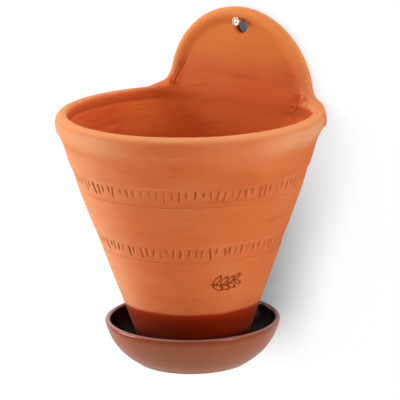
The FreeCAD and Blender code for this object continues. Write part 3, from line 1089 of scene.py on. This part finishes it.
def set_attribute(piece, name, values):
    layer = piece.data.attributes.new(name, "FLOAT", "POINT")
    layer.data.foreach_set("value", np.ascontiguousarray(values, np.float32))


# ---------------------------------------------------------------- materials

def place_group(t, name, **values):
    """A shared group in a tree, fed with its named inputs: its outputs by name."""
    builders = {"Clay mottling": mottling_group, "Turning lines": turning_group,
                "Surface grain": grain_group, "Dipped glaze": dipped_group,
                "Stroke marks": stroke_group}
    tree = bpy.data.node_groups.get(name) or builders[name]()
    node = t.add("ShaderNodeGroup", node_tree=tree)
    for label, value in values.items():
        t.feed(node.inputs[label.replace("_", " ")], value)
    return t.numbers(node.outputs)


def new_material(name):
    material = bpy.data.materials.new(name)
    material.use_nodes = True
    material.node_tree.nodes.clear()
    t = Tree(material.node_tree)
    shader = t.add("ShaderNodeBsdfPrincipled")
    t.add("ShaderNodeOutputMaterial", {"Surface": shader.outputs[0]})
    return material, t, shader, t.add("ShaderNodeTexCoord").outputs["Object"]


def dress(t, shader, colour, roughness, height, **uniform):
    """Feed a shader its colour, roughness and bumps, and what is the same all over."""
    bump = t.add("ShaderNodeBump", {"Height": height, "Distance": 1.0, "Strength": 1.0})
    fed = {"Base Color": colour, "Roughness": roughness, "Normal": bump.outputs[0], **uniform}
    for name, value in fed.items():
        t.feed(shader.inputs[name.replace("_", " ")], value)


def shaded(colour, share):
    return tuple(share * c for c in colour)


def arced_place(t, place):
    """The place with its height measured in arcs on the slab, where the rib swung round."""
    x, y, z = t.split(place)
    across, up = x - AXIS_X, z - (RIM_Z - ARC_DROP)
    arc = t.math("SQRT", across * across + up * up)
    on_slab = t.step(y, -0.0127, -0.0123)
    return t.joined(x, y, z + on_slab * (arc - z))


def level_line_mask(t, place, drop):
    """Mask of a thin, uneven line level round the bowl at a drop from the rim, where painted
    highlight and painted shade follow the incised lines.
    """
    wobble = t.math("MULTIPLY_ADD", t.noise(place, 45.0, 1.0), 0.0010, -0.0005)
    off = (t.split(place)[2] - (RIM_Z - drop) + wobble) / 0.00042
    line = t.math("EXPONENT", off * off * -1.0)
    return line * t.step(t.noise(place, 22.0, 2.0), 0.42, 0.60, 0.10, 1.0)


def line_highlights_and_shade(bands, deep, pale):
    """Painted highlights beside the collar's line and the bands' incised lines, and painted shade
    in each band's lower line: (drop, colour, strength).
    """
    marks = [(COLLAR_LINE_DROP, pale, 0.35)]
    for band in bands:
        marks.append((band.top - 0.0004, pale, 0.30))
        marks.append((band.top + band.line_gap, deep, 0.60))
        marks.append((band.top + band.line_gap + 0.0009, pale, 0.22))
    return marks


def clay_material(clay, bands):
    """Matt fired clay with its pressed strokes and a dipped glaze on the foot, its colour carrying
    painted light and shade.
    """
    material, t, shader, place = new_material("fired_clay")
    pale, deep = clay.bloom_and_highlight_colour, clay.deep_clay_and_shade_colour
    mottle = place_group(t, "Clay mottling", Vector=place, Main=clay.main_colour, Bloom=pale,
                         Deep=deep, Bloom_Amount=0.20, Cloud_Size=0.06)
    lines = place_group(t, "Turning lines", Vector=arced_place(t, place), Spacing=0.0034,
                        Drift=0.08)
    grain = place_group(t, "Surface grain", Vector=place, Grain_Size=0.0009, Pits=0.4)
    glaze = place_group(t, "Dipped glaze", Vector=place, Edge_Height=RIM_Z - clay.glaze_drop,
                        Wave=0.002)
    upper, lower = (place_group(t, "Stroke marks", Vector=place, Count=float(band.count),
                                Top=RIM_Z - band.top, Height=band.height, Seed=float(band.seed))
                    for band in bands)
    inner, edge, painted_shade, bloom_and_side_light, sprig, lift = (
        t.mask(name) for name in ("inner", "edge", "painted_shade", "bloom_and_side_light", "sprig", "lift"))
    outer = 1.0 - inner
    # Painted shade in the pressed strokes, painted highlight on their raised flanks.
    strokes = t.math("MAXIMUM", upper["Strokes"], lower["Strokes"]) * outer
    flanks = t.math("MAXIMUM", upper["Flanks"], lower["Flanks"]) * outer
    layers = [
        # Painted shade and bounce light inside the bowl; painted side light on the collar and the
        # bowl's sides.
        (inner * 0.8, clay.inner_shade_colour), (bloom_and_side_light * 0.86, clay.bloom_and_side_light_colour),
        # Worn edges with painted highlights on crests; painted shade in hollow bends, the gallery
        # and round the hole.
        (edge * 0.95, clay.worn_edge_and_highlight_colour), (painted_shade * 0.7, deep), (lines["Lines"] * 0.07, deep),
        # Painted shade in the low parts of the inner throwing rings, painted highlight on their
        # high parts.
        (t.step(lines["Height"], 0.70, 0.50) * (inner * 0.26), deep),
        (t.step(lines["Height"], 0.74, 0.92) * (inner * 0.20), clay.worn_edge_and_highlight_colour),
        # Painted light high on the tab and in the inner corner; painted highlight on the strokes'
        # raised flanks.
        (lift * 0.60, clay.painted_light_colour), (flanks * 0.55, pale)]
    # Painted highlight and painted shade along the incised lines.
    layers += [(level_line_mask(t, place, at) * (outer * share), paint)
               for at, paint, share in line_highlights_and_shade(bands, deep, pale)]
    # Painted shade in the strokes and in the sprig's impressed lines.
    layers += [(t.math("MULTIPLY", strokes, 1.0, clamp=True), deep), (sprig, shaded(deep, 0.55))]
    glazed = t.layered(clay.glaze_colour, [
        (lines["Height"] * 0.35, shaded(clay.glaze_colour, 0.55)),
        (glaze["Edge Line"], shaded(clay.glaze_colour, 1.3)),
        # Painted shadow: the glaze grows near black towards the saucer.
        (glaze["Depth"], shaded(clay.glaze_colour, 0.22))])
    covered = glaze["Mask"]
    colour = t.layered(mottle["Color"], layers + [(covered, glazed)])
    rough = 0.74 + grain["Height"] * 0.16
    turned = lines["Height"] * t.math("MULTIPLY_ADD", inner, 0.00016, 0.00006)
    height = (turned + grain["Height"] * 0.00006) * (1.0 - covered * 0.8)
    dress(t, shader, colour, rough * (1.0 - covered) + covered * 0.26,
          height + covered * 0.0002 - strokes * 0.0006, Specular_IOR_Level=0.10,
          Sheen_Weight=0.12, Sheen_Roughness=0.5, Sheen_Tint=(1.0, 0.75, 0.55))
    return material


def saucer_material(name, saucer, clay, shine):
    """Turned clay under a brown glaze: thin outside, near black inside, bare underneath."""
    material, t, shader, place = new_material(name)
    lines = place_group(t, "Turning lines", Vector=place, Spacing=0.0022, Drift=0.05, Seed=4.0)
    grain = place_group(t, "Surface grain", Vector=place, Grain_Size=0.0012, Pits=0.2)
    mottle = place_group(t, "Clay mottling", Vector=place, Main=clay.main_colour,
                         Bloom=clay.bloom_and_highlight_colour, Deep=clay.deep_clay_and_shade_colour, Bloom_Amount=0.5,
                         Cloud_Size=0.03)
    x, y, z = t.split(place)
    inside = t.mask("inside")
    crest_gap = SAUCER_CREST_Z - z
    wander = (t.noise(place, 60.0, 2.0) - 0.5) * 0.002
    near_rim = t.step(crest_gap + wander, 0.0075, 0.0015)
    inner = t.mix_colour(lines["Height"] * 0.4, saucer.inside_colour,
                         shaded(saucer.inside_colour, 2.2))
    bare = t.step(z, SAUCER_BOTTOM_Z + 0.0009, SAUCER_BOTTOM_Z + 0.0003) * t.step(
        from_axis(t, x, y)[2], 0.0422, 0.0410)
    colour = t.layered(saucer.outside_colour, [
        (lines["Lines"] * 0.5, shaded(saucer.outside_colour, 0.62)),
        (near_rim, saucer.rim_colour),
        # Thin glaze and painted highlight along the lip's crest.
        (t.step(crest_gap, 0.0012, 0.0001) * 0.6, saucer.worn_rim_and_highlight_colour),
        (inside, inner), (bare, mottle["Color"])])
    rough = 0.34 + grain["Height"] * 0.12 - inside * 0.16 - near_rim * 0.16
    dress(t, shader, colour, t.math("ADD", rough, bare * 0.4, clamp=True),
          lines["Height"] * 0.00020 + grain["Height"] * 0.00004, Specular_IOR_Level=shine)
    return material


def steel_material(nail):
    """Zinc-plated steel, dulled and finely scratched."""
    material, t, shader, place = new_material("zinc_plated_steel")
    grain = place_group(t, "Surface grain", Vector=place, Grain_Size=0.0005, Pits=0.3)
    streaks = t.noise(t.vector("MULTIPLY", place, (1.0, 6.0, 1.0)), 700.0, 3.0, 0.6)
    dull = t.step(t.noise(place, 420.0, 2.0), 0.42, 0.66)
    colour = t.mix_colour(dull * 0.35, nail.colour, shaded(nail.colour, 0.62))
    dress(t, shader, colour, 0.40 + streaks * 0.16 + dull * 0.12,
          streaks * 0.00002 + grain["Height"] * 0.00001, Metallic=1.0)
    return material


# ---------------------------------------------------------------- operators

def evened(values, triangles, rounds=2):
    """Values at points, each averaged with its neighbours' over the mesh."""
    count = np.bincount(triangles.ravel(), minlength=len(values))
    for _ in range(rounds):
        shares = np.repeat(values[triangles].mean(1), 3)
        values = np.bincount(triangles.ravel(), shares, len(values)) / np.maximum(count, 1)
    return values


def paint_attributes(piece, form, points, triangles, stamp):
    """Masks for the paint: the hollow side or outside, with painted shade inside; painted light
    high on the tab and in the inner corner; worn edges with painted highlights on bends and painted
    shade in hollow bends, the gallery and round the hole; painted side light with some dry bloom;
    and the sprig's marks.
    """
    u, v, outer = form.stamp_place(points)
    sprig = smooth_step(0.00025, -0.00025, sprig_field(u, v, stamp.length))
    set_attribute(piece, "sprig", np.where(outer, sprig, 0))
    x, y, z = points.T
    radius = np.hypot(x - AXIS_X, y - AXIS_Y)
    drop = RIM_Z - z
    hollow = radius < wall_radius(z) - HOLLOW_GAP
    # Painted shade: the inner mask grows down the slab into the bowl and covers the hollow below
    # the lip.
    slab = (y > CUT_FACE_Y - 0.0015) & (y < -0.0045) & (hollow | (drop < 0.0))
    shade = np.where(slab, smooth_step(RIM_Z + 0.045, RIM_Z - 0.030, z), hollow & (drop > 0.002))
    set_attribute(piece, "inner", shade)
    corner = smooth_step(*CORNER_DROP, drop) * smooth_step(*CORNER_FRONT, y) * hollow
    # Painted light: high on the tab, and in the hollow under the rim beside the slab, where little
    # light reaches.
    lift = smooth_step(RIM_Z + 0.015, RIM_Z + 0.045, z) * (y < -0.004)
    set_attribute(piece, "lift", np.maximum(lift, 0.55 * corner))
    collar = smooth_step(*COLLAR_TOP_DROP, drop) * smooth_step(*COLLAR_FOOT_DROP, drop) * ~hollow
    # Painted light on the collar band, strongest on the sides that face the lamps.
    lit_collar = (smooth_step(*LIT_COLLAR_TOP_DROP, drop) * smooth_step(*LIT_COLLAR_FOOT_DROP, drop)
             * smooth_step(*LIT_COLLAR_FRONT, y))
    bent = form.sharpness(points)
    at_rim = radius > RIM_RADIUS - 0.006
    open_lip = np.where(x < AXIS_X, smooth_step(*OPEN_LIP_FRONT, y), 1)
    # Worn edges and painted highlight: paler paint on convex bends and along the open lip's crest,
    # kept off the collar and the gallery, eased on the tab's right side and near the hole.
    edge = smooth_step(*PALE_BEND, bent) * (1 - collar) * ~(hollow & (drop > 0.0045))
    lip = 0.75 * at_rim * open_lip * smooth_step(*LIP_DROP, drop) * (drop > -0.012)
    edge = np.maximum(edge, lip)
    edge = np.where(hollow & (drop > -0.002), edge * open_lip, edge)
    right_side = smooth_step(*TAB_RIGHT_RISE, z - RIM_Z) * smooth_step(*TAB_RIGHT_SIDE, x - TAB_X)
    from_hole = np.hypot(x, z - HOLE_Z)
    edge = edge * (1 - 0.35 * right_side) * smooth_step(*PALE_HOLE, from_hole)
    # Painted shade: darker clay in concave bends, in the gallery under the lip and round the hole's
    # rim.
    painted_shade = smooth_step(*DARK_BEND, bent) * (1 - collar) * ~(at_rim & (drop < 0.004))
    groove = np.exp(-((drop - GALLERY_DROP) / 0.0008) ** 2)
    gallery = 0.5 * (drop > 0.0025) * (drop < GALLERY_DROP)
    painted_shade = np.maximum(painted_shade, hollow * np.maximum(groove, gallery))
    painted_shade = np.maximum(painted_shade, smooth_step(*DARK_HOLE, from_hole))
    for name, mask in (("edge", edge), ("painted_shade", painted_shade)):
        set_attribute(piece, name, evened(mask, triangles))
    # Painted light: the bowl's left and right sides, towards the lamps, and its left-hand wall
    # below the collar are painted paler, broken up by a cloud of dry bloom.
    turn = np.arctan2(x - AXIS_X, -(y - AXIS_Y))
    cloud = 0.5 + 0.5 * lattice_noise(points, 0.035, 61)
    sides = np.maximum(smooth_step(*LEFT_TURN, turn), smooth_step(*FAR_RIGHT_TURN, turn))
    side = 0.10 + 0.90 * sides
    wall = 0.62 * smooth_step(*SIDE_LIGHT_TURN, turn) * smooth_step(*SIDE_LIGHT_DROP, drop)
    bloom_and_side_light = np.maximum(lit_collar * side * (0.55 + 0.40 * cloud), wall * (0.75 + 0.25 * cloud))
    set_attribute(piece, "bloom_and_side_light", np.where(hollow, 0.0, bloom_and_side_light))


class PLANTER_OT_clay_body(bpy.types.Operator):
    """Make the clay body: bowl, slab, tab and seams, with its marks and its dipped foot"""

    bl_idname = "planter.clay_body"
    bl_label = "Clay Body"

    def execute(self, context):
        scene = context.scene
        clay = scene.planter_clay
        bands = [scene.planter_upper_band, scene.planter_lower_band]
        form = ClayForm(clay, bands, scene.planter_stamp)
        points, triangles = clay_mesh(form, clay.mesh_step)
        low, high = (np.array(c) for c in BOUNDS_OF_FRAME)
        points = np.clip(points, low + 1e-6, [high[0] - 1e-6, -1e-6, high[2] - 1e-6])
        piece = mesh_object("clay_body", points, triangles)
        paint_attributes(piece, form, points, triangles, scene.planter_stamp)
        material = clay_material(clay, bands)
        for band in bands:
            add_strokes(piece, material=material, count=band.count, depth=band.depth,
                        top=RIM_Z - band.top, height=band.height, seed=band.seed)
        settle_modifiers(piece)
        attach(piece, "planter")
        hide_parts("thrown_bowl", "back_slab", "seam_coil")
        print("clay body:", len(piece.data.polygons), "triangles")
        return {"FINISHED"}


class PLANTER_OT_foot_coil(bpy.types.Operator):
    """Make the finger-pressed ring of clay between the foot and the saucer"""

    bl_idname = "planter.foot_coil"
    bl_label = "Foot Coil"

    def execute(self, context):
        scene = context.scene
        low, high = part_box("foot_coil")
        reach = (high.x - low.x) / 2
        top = high.z
        inner, bottom = FOOT_RADIUS - 0.0004, BASE_Z + 0.0001
        profile = [(inner, bottom)]
        profile += bend((reach - 0.0004, bottom), (FOOT_RADIUS + 0.0016, top - 0.0002),
                        (inner, bottom), 14)
        profile += [(inner, top - 0.0012), (inner, bottom)]
        piece = turned_piece("luting_coil", profile, 256, Vector((AXIS_X, AXIS_Y, 0)))
        merge_seam(piece)
        material = saucer_material("coil_glaze", scene.planter_saucer, scene.planter_clay, 0.035)
        set_attribute(piece, "inside", np.ones(len(piece.data.vertices)))
        add_strokes(piece, material=material, count=26, depth=0.0006, width=0.0022, top=top,
                    height=high.z - low.z, seed=9, slant=0.0)
        settle_modifiers(piece)
        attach(piece, "planter")
        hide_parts("foot_coil")
        return {"FINISHED"}


def merge_seam(piece):
    """Join the first and last rings of a closed ring-shaped profile."""
    work = bmesh.new()
    work.from_mesh(piece.data)
    bmesh.ops.remove_doubles(work, verts=work.verts, dist=1e-6)
    bmesh.ops.recalc_face_normals(work, faces=work.faces)
    work.to_mesh(piece.data)
    work.free()


def bowed(start, end, bulge, steps=14):
    """Points from start to end on a curve that stands out from its chord, away from the axis."""
    a, b = np.array(start), np.array(end)
    run = b - a
    out = np.array([abs(run[1]), -abs(run[0])]) / np.hypot(*run)
    share = np.linspace(0, 1, steps + 1)[:, None]
    return [tuple(p) for p in a + run * share + out * bulge * 4 * share * (1 - share)]


def saucer_profile():
    """The saucer's section, up its outside, over the lip and down to its floor: two open parts."""
    half = SAUCER_WALL / 2
    lip_z = SAUCER_CREST_Z - half
    middle = SAUCER_RADIUS - half
    bottom, foot = SAUCER_BOTTOM_Z, SAUCER_FOOT_RADIUS
    outer = [(0.0, bottom), (foot / 2, bottom), (foot - 0.0008, bottom),
             (foot + 0.0001, bottom + 0.0004)]
    outer += bowed((foot + 0.0006, bottom + 0.0010), (SAUCER_RADIUS, lip_z), SAUCER_BULGE)
    turns = np.linspace(0, math.pi, 13)
    lip = [(middle + half * math.cos(turn), lip_z + half * math.sin(turn)) for turn in turns]
    floor, floor_z = SAUCER_FLOOR_RADIUS, BASE_Z
    inner = bowed((SAUCER_RADIUS - SAUCER_WALL, lip_z), (floor + 0.0008, floor_z + 0.0012),
                  SAUCER_BULGE)
    inner += [(floor, floor_z + 0.0004), (floor - 0.0015, floor_z), (foot / 2, floor_z),
              (0.0, floor_z)]
    return outer + lip[1:7], lip[7:-1] + inner


class PLANTER_OT_saucer(bpy.types.Operator):
    """Make the turned, glazed saucer"""

    bl_idname = "planter.saucer"
    bl_label = "Saucer"

    def execute(self, context):
        scene = context.scene
        outer, inner = saucer_profile()
        segments = scene.planter_saucer.segments
        piece = turned_piece("glazed_saucer", outer + inner, segments, Vector((AXIS_X, AXIS_Y, 0)))
        points = np.array([v.co for v in piece.data.vertices])
        rings = np.repeat(np.arange(len(outer + inner), dtype=float),
                          [1 if r == 0 else segments for r, z in outer + inner])
        set_attribute(piece, "inside", smooth_step(len(outer) + 1, len(outer) + 5, rings))
        radius = np.hypot(points[:, 0] - AXIS_X, points[:, 1] - AXIS_Y)
        level = np.column_stack([points[:, 0] * 0.2, points[:, 1] * 0.2, points[:, 2]])
        sway = 0.00018 * lattice_noise(level, 0.0035, 71)
        on_side = smooth_step(0.044, 0.047, radius) * smooth_step(
            0.0, 0.004, SAUCER_CREST_Z - points[:, 2])
        scale = 1 - on_side * np.abs(sway) / np.maximum(radius, 1e-4)
        points[:, 0] = AXIS_X + (points[:, 0] - AXIS_X) * scale
        points[:, 1] = AXIS_Y + (points[:, 1] - AXIS_Y) * scale
        piece.data.vertices.foreach_set("co", points.astype(np.float32).ravel())
        piece.data.update()
        for name, shine in (("saucer_glaze", 0.15), ("lip_glaze", 0.5), ("pooled_glaze", 0.035)):
            piece.data.materials.append(
                saucer_material(name, scene.planter_saucer, scene.planter_clay, shine))
        # the first points of the rounded lip's rings and of the rings where the glaze has pooled
        lip, wet = (len(outer) - 7) * segments, (len(outer) + 3) * segments
        for face in piece.data.polygons:
            first = min(face.vertices)
            face.material_index = int(first > lip) + int(first > wet)
        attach(piece, "planter")
        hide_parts("saucer")
        return {"FINISHED"}


class PLANTER_OT_wall_nail(bpy.types.Operator):
    """Make the round-headed wall nail"""

    bl_idname = "planter.wall_nail"
    bl_label = "Wall Nail"

    def execute(self, context):
        nail = context.scene.planter_nail
        front = HEAD_FRONT_Y
        back = front + 0.0016
        profile = [(0.0, front + 0.00012), (0.0009, front + 0.00008), (0.0013, front + 0.00030),
                   (0.0018, front + 0.00034), (0.0022, front + 0.00012), (0.0026, front + 0.00002)]
        profile += bend((0.0027, front), (HEAD_RADIUS, front + 0.0006), (0.0027, front + 0.0006), 6)
        profile += bend((HEAD_RADIUS, back - 0.0004), (HEAD_RADIUS - 0.0004, back),
                        (HEAD_RADIUS - 0.0004, back - 0.0004), 4)
        profile += bend((NECK_RADIUS + 0.0005, back), (NECK_RADIUS, back + 0.0005),
                        (NECK_RADIUS + 0.0005, back + 0.0005), 4)
        profile += [(NECK_RADIUS, 0.0), (DRIVEN_RADIUS, 0.0)]
        grip = 0.0040
        for k in range(5):
            at = grip + 0.0012 * k
            profile += [(DRIVEN_RADIUS if k else NECK_RADIUS, at),
                        (DRIVEN_RADIUS - 0.00018, at + 0.0004)]
        profile += [(DRIVEN_RADIUS, grip + 0.0066), (DRIVEN_RADIUS, DRIVEN_LENGTH),
                    (0.0003, NAIL_TIP_Y - 0.0002), (0.0, NAIL_TIP_Y)]
        piece = turned_piece("round_head_nail", profile, nail.segments, Vector((0, 0, 0)), axis="Y")
        piece.data.materials.append(steel_material(nail))
        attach(piece, "nail")
        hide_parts("wall_nail")
        return {"FINISHED"}


def stage_material(name, stage):
    """A white plane that shows from the front only, with a soft shade where the pot is near and a
    painted shadow behind the nail's hole.

    What touches it sees the light behind it.
    """
    material = bpy.data.materials.new(name)
    material.use_nodes = True
    material.node_tree.nodes.clear()
    t = Tree(material.node_tree)
    path = t.numbers(t.add("ShaderNodeLightPath").outputs)
    camera = path["Is Camera Ray"]
    mirrored = t.math("MAXIMUM", path["Is Glossy Ray"], path["Is Transmission Ray"])
    seen = t.math("MAXIMUM", camera, mirrored)
    near = t.add("ShaderNodeAmbientOcclusion", {"Distance": stage.shadow_reach},
                 samples=16).outputs["AO"]
    place = t.add("ShaderNodeTexCoord").outputs["Object"]
    shade = t.step(near, 0.88, 0.08) * t.step(t.split(place)[2], -0.07, -0.20, 0.26, 1.0)
    from_hole = t.vector("LENGTH", t.vector("SUBTRACT", place, (0.0, 0.0, HOLE_Z)))
    # Painted shadow on the wall behind the hole, where the slab covers it.
    hole_shadow = t.step(from_hole, 0.014, 0.010) * t.step(near, 0.80, 0.50)
    glow = t.layered(OPEN_WALL_GLOW, [(shade, stage.shadow_colour), (hole_shadow, HOLE_SHADOW_COLOUR)])
    light = t.add("ShaderNodeEmission", {"Color": glow, "Strength": 1.0})
    paint = t.add("ShaderNodeBsdfDiffuse", {
        "Color": t.mix_colour(seen, stage.wall_colour, MIRRORED_WALL)})
    black = t.add("ShaderNodeEmission", {"Color": (0.0, 0.0, 0.0), "Strength": 0.0})
    shown = t.add("ShaderNodeMixShader", {0: seen, 1: black.outputs[0], 2: light.outputs[0]})
    lit = t.add("ShaderNodeAddShader", {0: paint.outputs[0], 1: shown.outputs[0]})
    clear = t.add("ShaderNodeBsdfTransparent")
    behind = t.add("ShaderNodeNewGeometry").outputs["Backfacing"]
    touching = t.math("LESS_THAN", path["Ray Length"], 0.0015) * (1.0 - camera)
    hidden = t.math("MAXIMUM", behind, touching)
    both = t.add("ShaderNodeMixShader", {0: hidden, 1: lit.outputs[0], 2: clear.outputs[0]})
    t.add("ShaderNodeOutputMaterial", {"Surface": both.outputs[0]})
    return material


def stage_plane(name, corners, stage):
    plane = mesh_object("stage_" + name, corners, [(0, 1, 2, 3)])
    plane.data.materials.append(stage_material("pale_" + name, stage))
    return plane


def room_world(stage, towards):
    """White to the camera; to the object a soft room, darker where the camera looks in."""
    world = bpy.data.worlds.new("room")
    world.use_nodes = True
    background = world.node_tree.nodes["Background"]
    background.inputs["Color"].default_value = (1, 1, 1, 1)
    t = Tree(world.node_tree)
    direction = t.add("ShaderNodeTexCoord").outputs["Generated"]
    facing = t.vector("DOT_PRODUCT", direction, tuple(towards))
    closed = 1.0 - t.step(facing, 0.15, 0.95) * stage.opening
    above = t.step(t.split(direction)[2], 0.35, 1.0)
    path = t.numbers(t.add("ShaderNodeLightPath").outputs)
    mirrored = t.math("MAXIMUM", path["Is Glossy Ray"], path["Is Transmission Ray"])
    room = closed * (stage.room_light + above * stage.top_light) + mirrored * 0.3 * closed
    camera = path["Is Camera Ray"]
    t.feed(background.inputs["Strength"], room * (1.0 - camera) + camera)
    return world


def area_lamp(name, place, aim, size, power):
    data = bpy.data.lights.new(name, "AREA")
    data.shape = "DISK"
    data.size = size
    data.energy = power
    lamp = bpy.data.objects.new(name, data)
    bpy.context.scene.collection.objects.link(lamp)
    lamp.location = place
    lamp.rotation_euler = (Vector(aim) - Vector(place)).to_track_quat("-Z", "Y").to_euler()


class PLANTER_OT_stage(bpy.types.Operator):
    """Make the wall, the floor, the lamps and the camera"""

    bl_idname = "planter.stage"
    bl_label = "Stage"

    def execute(self, context):
        scene = context.scene
        stage = scene.planter_stage
        low, back = stage.floor_drop, WALL_PLANE_Y
        side, front, top = STAGE_SIDE, STAGE_FRONT, STAGE_TOP
        wall = stage_plane("wall", [(-side, back, low), (side, back, low), (side, back, top),
                                    (-side, back, top)], stage)
        floor = stage_plane("floor", [(-side, front, low), (side, front, low), (side, back, low),
                                      (-side, back, low)], stage)
        aim = (AXIS_X, AXIS_Y, -0.12)
        area_lamp("key_lamp", KEY_PLACE, aim, KEY_SIZE, stage.key_power)
        area_lamp("side_lamp", SIDE_PLACE, aim, SIDE_SIZE, stage.side_power)
        scene.world = room_world(stage, camera_back())
        scene.view_settings.view_transform = "Standard"
        add_camera(scene)
        return {"FINISHED"}


def camera_back():
    """Direction from the object to the camera."""
    a, e = CAMERA_AZIMUTH, CAMERA_ELEVATION
    return Vector((math.sin(a) * math.cos(e), -math.cos(a) * math.cos(e), math.sin(e)))


def add_camera(scene):
    """The photograph's camera, from its azimuth, elevation, roll and distance."""
    roll = CAMERA_ROLL
    back = camera_back()
    right = (-back).cross(Vector((0, 0, 1))).normalized()
    up = right.cross(-back)
    turned_right = right * math.cos(roll) + up * math.sin(roll)
    turned_up = up * math.cos(roll) - right * math.sin(roll)
    data = bpy.data.cameras.new("photo_camera")
    data.sensor_width = SENSOR
    data.lens = FOCAL_PIXELS / IMAGE_SIDE * SENSOR
    data.clip_end = 50
    camera = bpy.data.objects.new("photo_camera", data)
    scene.collection.objects.link(camera)
    turn = Matrix((turned_right, turned_up, back)).transposed().to_4x4()
    camera.matrix_world = Matrix.Translation(CAMERA_TARGET + back * CAMERA_DISTANCE) @ turn
    scene.camera = camera


class PLANTER_PT_sidebar(bpy.types.Panel):
    """Settings and steps of the wall planter."""

    bl_idname = "PLANTER_PT_sidebar"
    bl_label = "Wall Planter"
    bl_space_type = "VIEW_3D"
    bl_region_type = "UI"
    bl_category = "Planter"

    def draw(self, context):
        for name, group_class in SETTINGS.items():
            box = self.layout.box()
            box.label(text=name.replace("_", " ").capitalize())
            for label in group_class.__annotations__:
                box.prop(getattr(context.scene, name), label)
        for operator in OPERATORS:
            self.layout.operator(operator.bl_idname)


SETTINGS = {
    "planter_clay": PlanterClaySettings,
    "planter_upper_band": PlanterBandSettings,
    "planter_lower_band": PlanterBandSettings,
    "planter_stamp": PlanterStampSettings,
    "planter_saucer": PlanterSaucerSettings,
    "planter_nail": PlanterNailSettings,
    "planter_stage": PlanterStageSettings,
}
OPERATORS = (PLANTER_OT_stage, PLANTER_OT_clay_body, PLANTER_OT_foot_coil, PLANTER_OT_saucer,
             PLANTER_OT_wall_nail)
CLASSES = (*dict.fromkeys(SETTINGS.values()), *OPERATORS, PLANTER_PT_sidebar)


def register():
    for item in CLASSES:
        bpy.utils.register_class(item)
    for name, group_class in SETTINGS.items():
        setattr(bpy.types.Scene, name, bpy.props.PointerProperty(type=group_class))


def unregister():
    for name in SETTINGS:
        delattr(bpy.types.Scene, name)
    for item in reversed(CLASSES):
        bpy.utils.unregister_class(item)


def main():
    register()
    lower = bpy.context.scene.planter_lower_band
    lower.top = 0.0869
    lower.line_gap = 0.0127
    lower.height = 0.0100
    lower.count = 86
    lower.seed = 8
    bpy.ops.planter.stage()
    bpy.ops.planter.clay_body()
    bpy.ops.planter.foot_coil()
    bpy.ops.planter.saucer()
    bpy.ops.planter.wall_nail()


if __name__ == "__main__":
    main()
